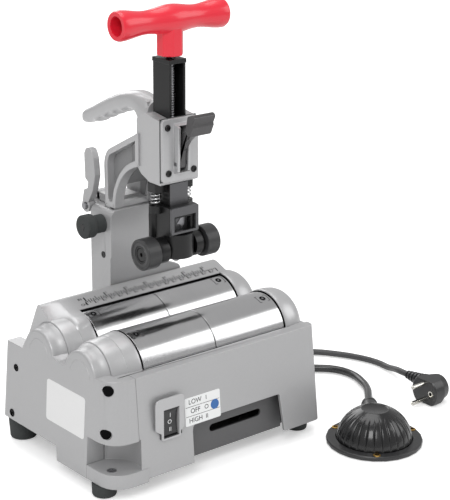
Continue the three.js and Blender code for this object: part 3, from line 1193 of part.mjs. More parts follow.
function addPedal() {
  const { x, y, flange, edge, thick, well, floor, holeR, holeRing, dome, cap, high, wall } = pedal;
  const centre = [x, y];
  const disc = turned([
    [0, 0], [flange - edge, 0], [flange, edge], [flange, thick - edge], [flange - edge, thick], [well,
      thick],
    [well, floor], [0, floor],
  ], 'z', centre, 24);
  const { from, to, r, z, away } = pedalNipple;
  const stub = new THREE.CylinderGeometry(r, r, to - from, 16);
  stub.rotateZ(-Math.PI * HALF + Math.atan2(away[1], away[0]));
  const reach = (from + to) * HALF;
  stub.translate(x + away[0] * reach, y + away[1] * reach, z);
  const holes = [-131, 110, -15.5].map((degrees) => {
    const angle = THREE.MathUtils.degToRad(degrees);
    return rod('z', holeR, -OVER, thick + OVER, [x + holeRing * Math.cos(angle),
      y + holeRing * Math.sin(angle)], 12);
  });
  const clear = rod('z', well, floor, high, centre, 24);
  add('pedal_base', cut(disc.add(toSolid(stub).subtract(clear)), ...holes), blackPlastic);
  const low = thick + SEAT;
  const side = new THREE.CubicBezierCurve(
    new THREE.Vector2(dome, low), new THREE.Vector2(dome - edge, low + pedal.bulge),
    new THREE.Vector2(cap + pedal.crownIn, high - pedal.crownDrop),
      new THREE.Vector2(cap + pedal.capStep, high - pedal.capDrop),
  ).getPoints(4).map((p) => [p.x, p.y]);
  const underside = side.map(([radius, height]) => [Math.max(radius - wall, 0),
    Math.max(height - wall * HALF, low)]).reverse();
  add('pedal_dome', turned([
    ...side, [cap, high], [0, high], [0, high - wall], ...underside, [dome, low],
  ], 'z', centre, 24), blackPlastic);
}

addShells();
addSwitch();
addMotor();
addGearsAndRollers();
addBracket();
addHead();
addColumn();
addRam();
addCarriage();
addSprings();
addCords();
addPedal();

// The origin moves to the middle of the bottom of the box of everything that isn't a free cord.
const cordNames = ['mains_lead', 'mains_coil', 'mains_run', 'mains_plug', 'hose_lead', 'hose_coil',
  'hose_run'];
const extent = new THREE.Box3();
group.children.filter(({ name }) => !cordNames.includes(name)).forEach((mesh) => extent.expandByObject(mesh));
const shift = extent.getCenter(new THREE.Vector3()).setZ(extent.min.z).negate();
group.children.forEach((mesh) => mesh.geometry.translate(...shift.toArray()));
const triangles = group.children.reduce((sum,
  { geometry }) => sum + (geometry.index ?? geometry.attributes.position).count / 3, 0);
console.log('shift', shift.toArray().map((v) => v.toFixed(3)).join(' '), 'nodes', group.children.length,
  'triangles', triangles);

export default group;
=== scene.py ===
import logging
import math
from dataclasses import dataclass, field
from enum import Enum
from typing import Iterable, Sequence

import bmesh
import bpy
from mathutils import Matrix, Vector


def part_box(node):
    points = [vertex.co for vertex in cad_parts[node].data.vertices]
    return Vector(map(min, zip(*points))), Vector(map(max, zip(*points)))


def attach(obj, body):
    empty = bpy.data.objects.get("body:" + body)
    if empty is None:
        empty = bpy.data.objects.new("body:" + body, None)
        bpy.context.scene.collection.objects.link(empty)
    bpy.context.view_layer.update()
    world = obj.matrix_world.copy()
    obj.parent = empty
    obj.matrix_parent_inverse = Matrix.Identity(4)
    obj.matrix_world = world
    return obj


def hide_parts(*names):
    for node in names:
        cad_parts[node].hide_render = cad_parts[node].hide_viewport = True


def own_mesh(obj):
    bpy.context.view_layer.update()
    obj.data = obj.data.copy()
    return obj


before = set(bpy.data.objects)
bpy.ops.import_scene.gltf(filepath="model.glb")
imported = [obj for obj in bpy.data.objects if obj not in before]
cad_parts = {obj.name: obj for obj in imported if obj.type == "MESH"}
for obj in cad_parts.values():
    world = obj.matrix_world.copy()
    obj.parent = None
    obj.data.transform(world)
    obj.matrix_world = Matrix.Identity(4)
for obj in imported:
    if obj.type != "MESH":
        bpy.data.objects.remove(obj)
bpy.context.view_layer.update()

# Lengths are in millimetres from ORIGIN, unless a name or a docstring says metres.
MM = 0.001
SEAT = 0.3
TURN = 2 * math.pi
MERGE = 1e-3
CAD_MERGE = 0.01 * MM
CAD_EDGE = math.radians(28)
FLAT_SPREAD = math.radians(50)
SHADE_EDGE = math.radians(32)
FLAT_LIMIT = 6000
LOG = logging.getLogger("pipe_cutter")
Point = Sequence[float]


class Axis(Enum):
    """The axis that a piece is turned about or drawn along."""

    X = 0
    Y = 1
    Z = 2


class Pattern(Enum):
    """How the fine relief of a finish runs."""

    EVEN = (1.0, 1.0, 1.0)
    TURNED = (1.0, 0.02, 0.02)
    UPRIGHT = (1.0, 1.0, 0.03)


def keep_flat(data: bpy.types.Mesh) -> None:
    """Turns each corner's normal to the largest faces round it, so that big faces shade flat.

    Args:
        data: the mesh whose normals are set.
    """
    round_vertex = [[] for _ in data.vertices]
    for face in data.polygons:
        for index in face.vertices:
            round_vertex[index].append((face.normal.copy(), face.area))
    least = math.cos(FLAT_SPREAD)
    normals = []
    for face in data.polygons:
        for index in face.vertices:
            total = Vector((0.0, 0.0, 0.0))
            for normal, area in round_vertex[index]:
                if normal.dot(face.normal) > least:
                    total += normal * area * area
            normals.append(total.normalized() if total.length > 0 else face.normal.copy())
    data.normals_split_custom_set(normals)


def site_origin() -> Vector:
    """Finds the seam between the sleeves, midway between the rollers, on the floor.

    Returns:
        The place in the frame, in metres.
    """
    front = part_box("front_sleeve_left")
    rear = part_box("rear_sleeve_left")
    middle = (front[0] + front[1] + rear[0] + rear[1]) / 4
    return Vector((front[1].x + SEAT * MM, middle.y, 0.0))


ORIGIN = site_origin()


def at(x: float, y: float, z: float) -> Vector:
    """Returns the frame's place, in metres, of a point in millimetres from the rollers' seam."""
    return ORIGIN + Vector((x, y, z)) * MM


def spot(axis: Axis, along: float, others: Point) -> list[float]:
    """Puts a point together from its place along an axis and its two other coordinates.

    Args:
        axis: the axis that `along` is measured on.
        along: the place on that axis.
        others: the two other coordinates, in order.

    Returns:
        The three coordinates.
    """
    place = list(others)
    place.insert(axis.value, along)
    return place


def disc(r: float, low: float, high: float) -> list[tuple[float, float]]:
    """Returns the profile of a disc or a plug between two places on its axis."""
    return [(0, low), (r, low), (r, high), (0, high)]


def washer(inner: float, outer: float, low: float, high: float) -> list[tuple[float, float]]:
    """Returns the closed profile of a square-edged ring between two places on its axis."""
    return [(inner, low), (outer, low), (outer, high), (inner, high), (inner, low)]


def close_holes(mesh: bmesh.types.BMesh) -> None:
    """Closes every open loop of edges with a face."""
    bmesh.ops.holes_fill(mesh, edges=[e for e in mesh.edges if e.is_boundary], sides=0)


def cut(mesh: bmesh.types.BMesh, place: Point, way: Point, keep_ahead: bool = False) -> None:
    """Cuts a mesh by a plane, takes one side away and closes the cut.

    Args:
        mesh: the mesh.
        place: a point on the plane.
        way: the plane's normal.
        keep_ahead: whether the side that the normal points to is the one that stays.
    """
    geometry = mesh.verts[:] + mesh.edges[:] + mesh.faces[:]
    bmesh.ops.bisect_plane(mesh, geom=geometry, plane_co=place, plane_no=way, clear_outer=not keep_ahead,
                           clear_inner=keep_ahead)
    close_holes(mesh)


def linear(code: str) -> tuple[float, float, float]:
    """Returns the linear colour of a hexadecimal one."""
    parts = [int(code[i:i + 2], 16) / 255 for i in (1, 3, 5)]
    return tuple(c / 12.92 if c <= 0.04045 else ((c + 0.055) / 1.055) ** 2.4 for c in parts)


@dataclass
class Value:
    """A shader socket that can be used in Python sums."""

    shader: "Shader"
    socket: bpy.types.NodeSocket

    def _math(self, operation: str, first: object, second: object) -> "Value":
        """Adds a Math node.

        Args:
            operation: the node's operation.
            first: the first value or number.
            second: the second value or number.

        Returns:
            The node's result.
        """
        return self.shader.node("ShaderNodeMath", {"operation": operation}, {0: first, 1: second})

    def __add__(self, other: object) -> "Value":
        """Adds."""
        return self._math("ADD", self, other)

    __radd__ = __add__

    def __sub__(self, other: object) -> "Value":
        """Subtracts."""
        return self._math("SUBTRACT", self, other)

    def __rsub__(self, other: object) -> "Value":
        """Subtracts from a number."""
        return self._math("SUBTRACT", other, self)

    def __mul__(self, other: object) -> "Value":
        """Multiplies."""
        return self._math("MULTIPLY", self, other)

    __rmul__ = __mul__

    def above(self, edge: float) -> "Value":
        """Returns 1 where the value is above the edge, else 0."""
        return self._math("GREATER_THAN", self, edge)


class Shader:
    """The node tree of one material."""

    def __init__(self, name: str) -> None:
        """Makes the material and its empty tree.

        Args:
            name: the material's name.
        """
        self.material = bpy.data.materials.new(name)
        self.material.use_nodes = True
        self.tree = self.material.node_tree
        self.tree.nodes.clear()

    def node(self, kind: str, settings: dict, inputs: dict, output: object = 0) -> Value:
        """Makes one node.

        Args:
            kind: the node's type.
            settings: what is set on the node itself, and stops for a ramp.
            inputs: the values or links of its sockets.
            output: the name or number of the socket to return.

        Returns:
            The chosen output.
        """
        made = self.tree.nodes.new(kind)
        for key, value in settings.items():
            if key == "stops":
                ramp = made.color_ramp
                for index, (place, colour) in enumerate(value):
                    element = ramp.elements[index] if index < 2 else ramp.elements.new(place)
                    element.position = place
                    element.color = (*colour, 1.0)
            else:
                setattr(made, key, value)
        for key, value in inputs.items():
            socket = made.inputs[key]
            if isinstance(value, Value):
                self.tree.links.new(value.socket, socket)
            else:
                socket.default_value = value
        return Value(self, made.outputs[output])

    def close(self, surface: Value) -> None:
        """Links a shader node's result to the material's output."""
        end = self.tree.nodes.new("ShaderNodeOutputMaterial")
        self.tree.links.new(surface.socket, end.inputs["Surface"])

    def noise(self, scale: float, stretch: Point = (1, 1, 1), detail: float = 2.0) -> Value:
        """Makes noise on Object coordinates.

        Args:
            scale: cells per metre.
            stretch: how much each axis counts.
            detail: the layers of finer noise.

        Returns:
            The noise from 0 to 1.
        """
        place = self.node("ShaderNodeTexCoord", {}, {}, "Object")
        moved = self.node("ShaderNodeMapping", {}, {"Vector": place, "Scale": tuple(stretch)})
        return self.node("ShaderNodeTexNoise", {}, {"Vector": moved, "Scale": scale, "Detail": detail}, "Fac")


@dataclass(frozen=True)
class Finish:
    """One surface finish, with its colour spread, roughness spread and fine relief."""

    name: str
    colour: str
    roughness: float
    metallic: float = 0.0
    shine: float = 0.5
    coat: float = 0.0
    tone_spread: float = 0.06
    rough_spread: float = 0.1
    grain: float = 900.0
    depth: float = 0.02
    pattern: Pattern = Pattern.EVEN
    scuffs: float = 0.0

    def made(self) -> bpy.types.Material:
        """Returns the material, made on first use."""
        known = bpy.data.materials.get(self.name)
        return known or self._make()

    def _make(self) -> bpy.types.Material:
        """Builds the finish's node tree.

        Returns:
            The new material.
        """
        shader = Shader(self.name)
        base = Vector(linear(self.colour))
        cloud = shader.noise(14.0, detail=4.0)
        speck = shader.noise(self.grain * 0.6, self.pattern.value, 3.0)
        blend = cloud * 0.6 + speck * 0.4
        dark = (*(base * (1 - self.tone_spread * 2)), 1.0)
        light = (*[min(c, 1.0) for c in base * (1 + self.tone_spread * 2)], 1.0)
        tone = shader.node("ShaderNodeMix", {"data_type": "RGBA"}, {0: blend, 6: dark, 7: light}, 2)
        rough = self.roughness + (blend - 0.5) * (2 * self.rough_spread)
        if self.scuffs:
            lines = shader.noise(120.0, (6.0, 0.6, 1.4), 5.0)
            worn = lines.above(0.67) * self.scuffs
            bright = (*[min(c * 1.5 + 0.05, 1.0) for c in base], 1.0)
            tone = shader.node("ShaderNodeMix", {"data_type": "RGBA"}, {0: worn, 6: tone, 7: bright}, 2)
            rough = rough + worn * 0.15
        relief = shader.noise(self.grain, self.pattern.value, 2.0)
        bump = shader.node("ShaderNodeBump", {}, {"Height": relief, "Strength": 0.5,
                                                  "Distance": self.depth * MM}, "Normal")
        surface = shader.node("ShaderNodeBsdfPrincipled", {}, {
            "Base Color": tone, "Roughness": rough, "Metallic": self.metallic, "Coat Weight": self.coat,
            "Specular IOR Level": self.shine, "Normal": bump,
        })
        shader.close(surface)
        return shader.material


CASTING = Finish("cast_grey_paint", "#afafb0", 0.4, 0.3, coat=0.15, grain=700, depth=0.05, tone_spread=0.04)
CASTING_WARM = Finish("cast_grey_cover", "#b9b9ba", 0.34, 0.4, coat=0.15, grain=800, depth=0.04,
                      tone_spread=0.04)
# The arm's web uses a darker copy of the casting grey: painted shade for the arm's deep pocket.
WEB_PAINTED_SHADE = Finish("cast_grey_painted_shade", "#8c8c8d", 0.45, 0.3, grain=700, depth=0.05, tone_spread=0.05)
GROUND = Finish("ground_roller_steel", "#cfcfd0", 0.17, 1.0, rough_spread=0.06, grain=2600, depth=0.014,
                pattern=Pattern.TURNED)
MACHINED = Finish("machined_steel", "#97979a", 0.32, 0.95, grain=2200, depth=0.02, pattern=Pattern.UPRIGHT)
DARK_STEEL = Finish("dark_ram_steel", "#646466", 0.36, 0.8, grain=2200, depth=0.02, pattern=Pattern.UPRIGHT)
SPRING_WIRE = Finish("bright_spring_wire", "#c8c8c9", 0.22, 1.0, grain=3000, depth=0.01)
BLACKENED = Finish("blackened_steel", "#121213", 0.36, 0.2, coat=0.05, grain=1500, depth=0.02, scuffs=0.06)
RUBBER = Finish("dark_rubber", "#3c3c3d", 0.66, tone_spread=0.1, grain=1600, depth=0.05)
TYRE = Finish("dark_nylon_wheel", "#303031", 0.42, coat=0.1, tone_spread=0.06, grain=1400, depth=0.03,
              pattern=Pattern.TURNED)
BLACK = Finish("black_moulding", "#2a2a2b", 0.33, coat=0.1, grain=1300, depth=0.02)
GLOSS_BLACK = Finish("gloss_black_dome", "#171718", 0.22, coat=0.25, grain=700, depth=0.02)
RED = Finish("red_moulding", "#e32438", 0.3, coat=0.35, tone_spread=0.03, grain=900, depth=0.015)
PANEL = Finish("dark_grey_panel", "#626263", 0.45, 0.3, grain=1300, depth=0.03)
LEVER = Finish("dark_cast_lever", "#5a595a", 0.34, 0.7, grain=900, depth=0.05, scuffs=0.15)
SHEATH = Finish("cord_sheath", "#444445", 0.42, tone_spread=0.08, grain=1200, depth=0.03)
HOSE = Finish("hose_sheath", "#272728", 0.28, coat=0.3, tone_spread=0.08, grain=1200, depth=0.02)
BRASS = Finish("brass_eyelet", "#c9a25a", 0.3, 1.0, grain=1800, depth=0.01)
NICKEL = Finish("nickel_pin", "#d8d6cf", 0.2, 1.0, grain=2400, depth=0.01)
INK = Finish("black_ink", "#0c0c0d", 0.7, shine=0.05, grain=2000, depth=0.005)
ETCH = Finish("etched_mark", "#2c2c2d", 0.5, 0.3, grain=2000, depth=0.005)
LABEL = Finish("blank_label", "#e2e2e2", 0.4, coat=0.2, tone_spread=0.02, grain=1500, depth=0.005)
WHITE = Finish("white_print", "#eceded", 0.45, tone_spread=0.02, grain=1500, depth=0.005)
BLUE = Finish("blue_print", "#2b66a8", 0.4, coat=0.2, tone_spread=0.03, grain=1500, depth=0.005)


class Form:
    """A mesh under construction, measured in millimetres from the rollers' seam."""

    def __init__(self) -> None:
        """Starts an empty bmesh."""
        self.mesh = bmesh.new()

    def turn(self, profile: Sequence[Point], axis: Axis, centre: Point, steps: int = 64) -> "Form":
        """Spins a profile round an axis.

        Args:
            profile: (radius, place along the axis) points.
            axis: the axis of turning.
            centre: the two other coordinates of the axis, in order.
            steps: the steps of a full turn.

        Returns:
            This form.
        """
        side = Axis.X if axis is Axis.Z else Axis.Z
        made = []
        for radius, along in profile:
            place = spot(axis, along, centre)
            place[side.value] += radius
            made.append(self.mesh.verts.new(place))
        edges = [self.mesh.edges.new(pair) for pair in zip(made, made[1:])]
        bmesh.ops.spin(self.mesh, geom=made + edges, cent=spot(axis, 0.0, centre),
                       axis=spot(axis, 1.0, (0.0, 0.0)), dvec=(0, 0, 0), angle=TURN, steps=steps,
                       use_merge=True)
        bmesh.ops.remove_doubles(self.mesh, verts=self.mesh.verts, dist=MERGE)
        return self

    def prism(self, outline: Iterable[Point], axis: Axis, low: float, high: float) -> "Form":
        """Draws an outline along an axis.

        Args:
            outline: points in the two other coordinates, in order.
            axis: the axis to draw along.
            low: where it starts.
            high: where it ends.

        Returns:
            This form.
        """
        face = self.mesh.faces.new([self.mesh.verts.new(spot(axis, low, point)) for point in outline])
        grown = bmesh.ops.extrude_face_region(self.mesh, geom=[face])["geom"]
        bmesh.ops.translate(self.mesh, vec=spot(axis, high - low, (0.0, 0.0)),
                            verts=[g for g in grown if isinstance(g, bmesh.types.BMVert)])
        return self

    def loft(self, sections: Sequence[tuple], axis: Axis, ring: bool = False) -> "Form":
        """Joins outlines of the same number of points with a skin.

        Args:
            sections: (place along the axis, outline in the two other coordinates).
            axis: the axis that the sections stand across.
            ring: whether the last section joins the first, else both ends are closed.

        Returns:
            This form.
        """
        rows = [[self.mesh.verts.new(spot(axis, along, point)) for point in outline] for along,
                outline in sections]
        pairs = list(zip(rows, rows[1:])) + ([(rows[-1], rows[0])] if ring else [])
        for first, second in pairs:
            for i in range(len(first)):
                j = (i + 1) % len(first)
                self.mesh.faces.new((first[i], first[j], second[j], second[i]))
        if not ring:
            self.mesh.faces.new(rows[0])
            self.mesh.faces.new(rows[-1])
        return self

    def block(self, low: Point, high: Point) -> "Form":
        """Adds a box between two corners.

        Args:
            low: the lowest corner.
            high: the highest corner.

        Returns:
            This form.
        """
        size = [b - a for a, b in zip(low, high)]
        middle = [(a + b) / 2 for a, b in zip(low, high)]
        bmesh.ops.create_cube(self.mesh, size=1.0,
                              matrix=Matrix.Translation(middle) @ Matrix.Diagonal((*size, 1)))
        return self

    def bevel(self, width: float, segments: int = 2, angle: float = 30.0) -> "Form":
        """Rounds the sharp edges.

        Args:
            width: the bevel's width.
            segments: its steps.
            angle: the least angle, in degrees, of an edge to round.

        Returns:
            This form.
        """
        bmesh.ops.recalc_face_normals(self.mesh, faces=self.mesh.faces)
        limit = math.radians(angle)
        sharp = [e for e in self.mesh.edges if e.is_manifold and e.calc_face_angle(0.0) > limit]
        bmesh.ops.bevel(self.mesh, geom=sharp, offset=width, segments=segments, profile=0.5, affect="EDGES",
                        material=-1, clamp_overlap=True)
        return self

    def moved(self, matrix: Matrix) -> "Form":
        """Moves and turns the whole form."""
        bmesh.ops.transform(self.mesh, matrix=matrix, verts=self.mesh.verts)
        return self

    def from_cad(self, node: str) -> "Form":
        """Takes a CAD node's shape, merged, in the frame's metres.

        Args:
            node: the node's name.

        Returns:
            This form.
        """
        self.mesh.from_mesh(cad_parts[node].data)
        bmesh.ops.remove_doubles(self.mesh, verts=self.mesh.verts, dist=CAD_MERGE)
        return self

    def soften(self, width: float, segments: int, clamp: bool, least: float = 0.0) -> "Form":
        """Joins the flat triangles of a CAD shape and rounds its hard edges.

        Args:
            width: the rounding, in millimetres.
            segments: its steps.
            clamp: whether a bevel stops where it meets another.
            least: the length, in millimetres, under which an edge stays hard.

        Returns:
            This form.
        """
        mesh = self.mesh
        bmesh.ops.dissolve_limit(mesh, angle_limit=math.radians(1.0), verts=mesh.verts, edges=mesh.edges)
        hard = [e for e in mesh.edges if e.is_manifold and e.calc_face_angle(0.0) > CAD_EDGE]
        bmesh.ops.bevel(mesh, geom=[e for e in hard if e.calc_length() > least * MM], offset=width * MM,
                        segments=segments, profile=0.5, affect="EDGES", material=-1, clamp_overlap=clamp)
        return self

    def piece(self, name: str, body: str, finish: Finish, slot: str, replaces: Sequence[str] = (),
              metres: bool = False) -> bpy.types.Object:
        """Turns the form into a piece that rides on a body.

        Args:
            name: the piece's name.
            body: the CAD body that it rides on.
            finish: its finish.
            slot: not used.
            replaces: the CAD nodes that it stands for.
            metres: whether the mesh is already in the frame's metres.

        Returns:
            The piece.
        """
        if not metres:
            self.moved(Matrix.Translation(ORIGIN) @ Matrix.Scale(MM, 4))
            bmesh.ops.recalc_face_normals(self.mesh, faces=self.mesh.faces)
        data = bpy.data.meshes.new(name)
        self.mesh.to_mesh(data)
        self.mesh.free()
        data.materials.append(finish.made())
        for polygon in data.polygons:
            polygon.use_smooth = True
        data.set_sharp_from_angle(angle=SHADE_EDGE)
        if len(data.polygons) < FLAT_LIMIT:
            keep_flat(data)
        made = bpy.data.objects.new(name, data)
        bpy.context.scene.collection.objects.link(made)
        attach(made, body)
        if replaces:
            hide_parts(*replaces)
        LOG.info("%s: %d faces on %s", name, len(data.polygons), body)
        return made


def rounded(outline: Sequence[Point], steps: int = 5) -> list[tuple[float, float]]:
    """Rounds the corners of an outline.

    Args:
        outline: (a, b) points, or (a, b, reach) where the corner is round.
        steps: the steps of each round corner.

    Returns:
        The finer outline.
    """
    points = []
    for index, (a, b, *reach) in enumerate(outline):
        if not reach or not reach[0]:
            points.append((a, b))
            continue
        here = Vector((a, b))
        before = Vector(outline[index - 1][:2]) - here
        after = Vector(outline[(index + 1) % len(outline)][:2]) - here
        start = here + before.normalized() * min(reach[0], before.length * 0.48)
        end = here + after.normalized() * min(reach[0], after.length * 0.48)
        for i in range(steps + 1):
            t = i / steps
            place = start * (1 - t) ** 2 + here * 2 * t * (1 - t) + end * t * t
            points.append((place.x, place.y))
    return points


def eased(points: Sequence[Point], at_place: float) -> float:
    """Reads a smooth line through points in rising order.

    Args:
        points: (place, value) pairs.
        at_place: where to read it.

    Returns:
        The value there.
    """
    if at_place <= points[0][0]:
        return points[0][1]
    for index in range(len(points) - 1):
        (x0, v0), (x1, v1) = points[index], points[index + 1]
        if at_place > x1:
            continue
        t = (at_place - x0) / (x1 - x0)
        before = points[index - 1] if index else points[0]
        after = points[min(index + 2, len(points) - 1)]
        m0 = (v1 - before[1]) / (x1 - before[0]) * (x1 - x0)
        m1 = (after[1] - v0) / (after[0] - x0) * (x1 - x0)
        return ((2 * t ** 3 - 3 * t * t + 1) * v0 + (t ** 3 - 2 * t * t + t) * m0
                + (3 * t * t - 2 * t ** 3) * v1 + (t ** 3 - t * t) * m1)
    return points[-1][1]


def rounded_copy(node: str, body: str, finish: Finish, slot: str, width: float = 0.5) -> bpy.types.Object:
    """Makes a piece from a CAD node's shape with its hard edges rounded.

    Args:
        node: the CAD node.
        body: the body that it rides on.
        finish: its finish.
        slot: the record's material slot.
        width: the rounding, in millimetres.

    Returns:
        The piece that replaces the node.
    """
    form = Form().from_cad(node).soften(width, 2, False, width)
    bmesh.ops.remove_doubles(form.mesh, verts=form.mesh.verts, dist=0.004 * MM)
    return form.piece(f"{node}_shell", body, finish, slot, [node], metres=True)


def lettering(name: str, text: str, size: float, matrix: Matrix, body: str, finish: Finish,
              slot: str) -> bpy.types.Object:
    """Makes printed text as a thin mesh.

    Args:
        name: the piece's name.
        text: the generic word or number.
        size: the letter height, in millimetres.
        matrix: where the text lies, in the frame's metres.
        body: the body that it rides on.
        finish: its finish.
        slot: the record's material slot.

    Returns:
        The piece.
    """
    curve = bpy.data.curves.new(name, "FONT")
    curve.body = text
    curve.size = size * MM
    curve.extrude = 0.03 * MM
    curve.align_x = "CENTER"
    curve.align_y = "CENTER"
    holder = bpy.data.objects.new(name + "_text", curve)
    bpy.context.scene.collection.objects.link(holder)
    bpy.context.view_layer.update()
    data = bpy.data.meshes.new_from_object(holder.evaluated_get(bpy.context.evaluated_depsgraph_get()))
    bpy.data.objects.remove(holder)
    form = Form()
    form.mesh.from_mesh(data)
    return form.moved(matrix).piece(name, body, finish, slot, metres=True)


def plane_matrix(place: Vector, right: Point, up: Point) -> Matrix:
    """Returns the matrix of a plane through a place.

    Args:
        place: the plane's middle, in metres.
        right: the direction of reading.
        up: the direction of the letters' tops.

    Returns:
        The matrix from the plane's X and Y to the frame.
    """
    x_way = Vector(right).normalized()
    y_way = Vector(up).normalized()
    z_way = x_way.cross(y_way).normalized()
    turned = Matrix((x_way, z_way.cross(x_way), z_way)).transposed().to_4x4()
    return Matrix.Translation(place) @ turned


@dataclass
class Studio:
    """The camera, the floor and the light."""

    eye: tuple[float, float, float] = (-949.8, -1230.8, 722.7)
    yaw: float = 39.64
    pitch: float = 18.42
    roll: float = -0.40
    focal_pixels: float = 1609.2
    image: tuple[int, int] = (450, 500)
    middle_pixels: tuple[float, float] = (225.9, 249.2)
    sensor: float = 36.0
    sky: float = 0.5
    floor_half: float = 6.0
    floor_sink: float = 0.0005
    floor_glow: float = 0.64
    glow_from: float = 0.7
    glow_to: float = 2.2
    lamps: tuple = (
        ("key", (-1.5, -1.2, 1.9), 0.2, 1.2, 26), ("fill", (1.7, -1.3, 1.3), 0.15, 1.4, 12),
        ("top", (0.1, 0.4, 2.2), 0.1, 1.6, 18), ("back", (0.6, 2.0, 1.2), 0.2, 1.2, 10),
    )

    def camera(self) -> None:
        """Places the camera where the photograph was taken from."""
        yaw, pitch, roll = (math.radians(a) for a in (self.yaw, self.pitch, self.roll))
        ahead = Vector((math.sin(yaw) * math.cos(pitch), math.cos(yaw) * math.cos(pitch), -math.sin(pitch)))
        level = Vector((math.cos(yaw), -math.sin(yaw), 0))
        down = ahead.cross(level)
        right = level * math.cos(roll) + down * math.sin(roll)
        over = ahead.cross(right) * -1
        data = bpy.data.cameras.new("photo_camera")
        data.sensor_width = self.sensor
        data.lens = self.focal_pixels * self.sensor / max(self.image)
        data.shift_x = (self.image[0] / 2 - self.middle_pixels[0]) / max(self.image)
        data.shift_y = (self.middle_pixels[1] - self.image[1] / 2) / max(self.image)
        data.clip_end = 20
        camera = bpy.data.objects.new("photo_camera", data)
        turned = Matrix((right, over, -ahead)).transposed().to_4x4()
        camera.matrix_world = Matrix.Translation(at(*self.eye)) @ turned
        bpy.context.scene.collection.objects.link(camera)
        bpy.context.scene.camera = camera

    def lamp(self, name: str, place: Point, aim: Point, size: float, power: float) -> None:
        """Adds one soft lamp.

        Args:
            name: its name.
            place: where it stands, in metres.
            aim: what it looks at, in metres.
            size: its side, in metres.
            power: its power, in watts.
        """
        data = bpy.data.lights.new(name, "AREA")
        data.size = size
        data.energy = power
        made = bpy.data.objects.new(name, data)
        made.location = place
        made.rotation_euler = (Vector(aim) - Vector(place)).to_track_quat("-Z", "Y").to_euler()
        bpy.context.scene.collection.objects.link(made)

    def world(self) -> None:
        """Makes a white background and a soft, darker sky for the light itself."""
        world = bpy.data.worlds.new("studio")
        world.use_nodes = True
        bpy.context.scene.world = world
        tree = world.node_tree
        tree.nodes.clear()
        path = tree.nodes.new("ShaderNodeLightPath")
        seen = tree.nodes.new("ShaderNodeMath")
        seen.operation = "MAXIMUM"
        tree.links.new(path.outputs["Is Camera Ray"], seen.inputs[0])
        tree.links.new(path.outputs["Is Transmission Ray"], seen.inputs[1])
        shades = {}
        for key, strength in (("sky", self.sky), ("white", 1.0)):
            shade = tree.nodes.new("ShaderNodeBackground")
            shade.inputs["Color"].default_value = (1, 1, 1, 1)
            shade.inputs["Strength"].default_value = strength
            shades[key] = shade
        mix = tree.nodes.new("ShaderNodeMixShader")
        end = tree.nodes.new("ShaderNodeOutputWorld")
        tree.links.new(seen.outputs[0], mix.inputs[0])
        tree.links.new(shades["sky"].outputs[0], mix.inputs[1])
        tree.links.new(shades["white"].outputs[0], mix.inputs[2])
        tree.links.new(mix.outputs[0], end.inputs["Surface"])

    def floor(self) -> None:
        """Lays a pale floor that keeps the object's shadow."""
        mesh = bmesh.new()
        bmesh.ops.create_grid(mesh, x_segments=1, y_segments=1, size=self.floor_half)
        data = bpy.data.meshes.new("floor")
        mesh.to_mesh(data)
        mesh.free()
        shader = Shader("pale_floor")
        tree = shader.tree
        paint = shader.node("ShaderNodeBsdfDiffuse", {}, {"Color": (0.9, 0.9, 0.9, 1.0)})
        place = shader.node("ShaderNodeTexCoord", {}, {}, "Object")
        far = shader.node("ShaderNodeVectorMath", {"operation": "LENGTH"}, {0: place}, "Value")
        reach = {"Value": far, "From Min": self.glow_from, "From Max": self.glow_to}
        share = shader.node("ShaderNodeMapRange", {}, reach)
        tone = shader.node("ShaderNodeMix", {"data_type": "RGBA"},
                           {0: share, 6: (0.6, 0.6, 0.6, 1), 7: (1, 1, 1, 1)}, 2)
        glow = shader.node("ShaderNodeEmission", {}, {"Color": tone, "Strength": self.floor_glow})
        both = tree.nodes.new("ShaderNodeAddShader")
        tree.links.new(paint.socket, both.inputs[0])
        tree.links.new(glow.socket, both.inputs[1])
        path = shader.node("ShaderNodeLightPath", {}, {}, "Is Camera Ray")
        mix = tree.nodes.new("ShaderNodeMixShader")
        tree.links.new(path.socket, mix.inputs[0])
        tree.links.new(paint.socket, mix.inputs[1])
        tree.links.new(both.outputs[0], mix.inputs[2])
        end = tree.nodes.new("ShaderNodeOutputMaterial")
        tree.links.new(mix.outputs[0], end.inputs["Surface"])
        data.materials.append(shader.material)
        made = bpy.data.objects.new("floor", data)
        made.location = (0, 0, -self.floor_sink)
        bpy.context.scene.collection.objects.link(made)

    def build(self) -> None:
        """Makes the whole studio."""
        bpy.context.scene.view_settings.view_transform = "Standard"
        self.camera()
        self.world()
        self.floor()
        for name, place, aim_height, size, power in self.lamps:
            self.lamp(name, place, (0, 0, aim_height), size, power)


@dataclass
class Winding:
    """A two-layer coil that winds in, climbs in half a turn and winds out."""

    x: float
    y: float
    d: float
    start: float
    turns: float
    mean: float
    steps: int = 24
    spread: float = 1.2
    layer: float = 1.145

    def centres(self) -> list[Vector]:
        """Works out the centreline from the lower layer's outer end to the upper layer's.

        Returns:
            The centreline's points, in millimetres.
        """
        pitch, layer = self.spread * self.d, self.layer * self.d
        one_way = (self.turns - 0.5) / 2
        inner = self.mean - one_way * pitch / 2
        rest = self.d / 2 + SEAT
        points = []
        for i in range(round(self.turns * self.steps) + 1):
            t = i / self.steps
            out = max(one_way - t, t - one_way - 0.5, 0)
            climbed = min(max((t - one_way) / 0.5, 0), 1)
            angle = math.radians(self.start) + TURN * t
            r = inner + pitch * out
            points.append(Vector((self.x + r * math.cos(angle), self.y + r * math.sin(angle),
                                  rest + layer * climbed)))
        first = (points[0] - points[1]).normalized()
        last = (points[-1] - points[-2]).normalized()
        first.z = last.z = 0
        return [points[0] + first * self.d, *points, points[-1] + last * self.d]


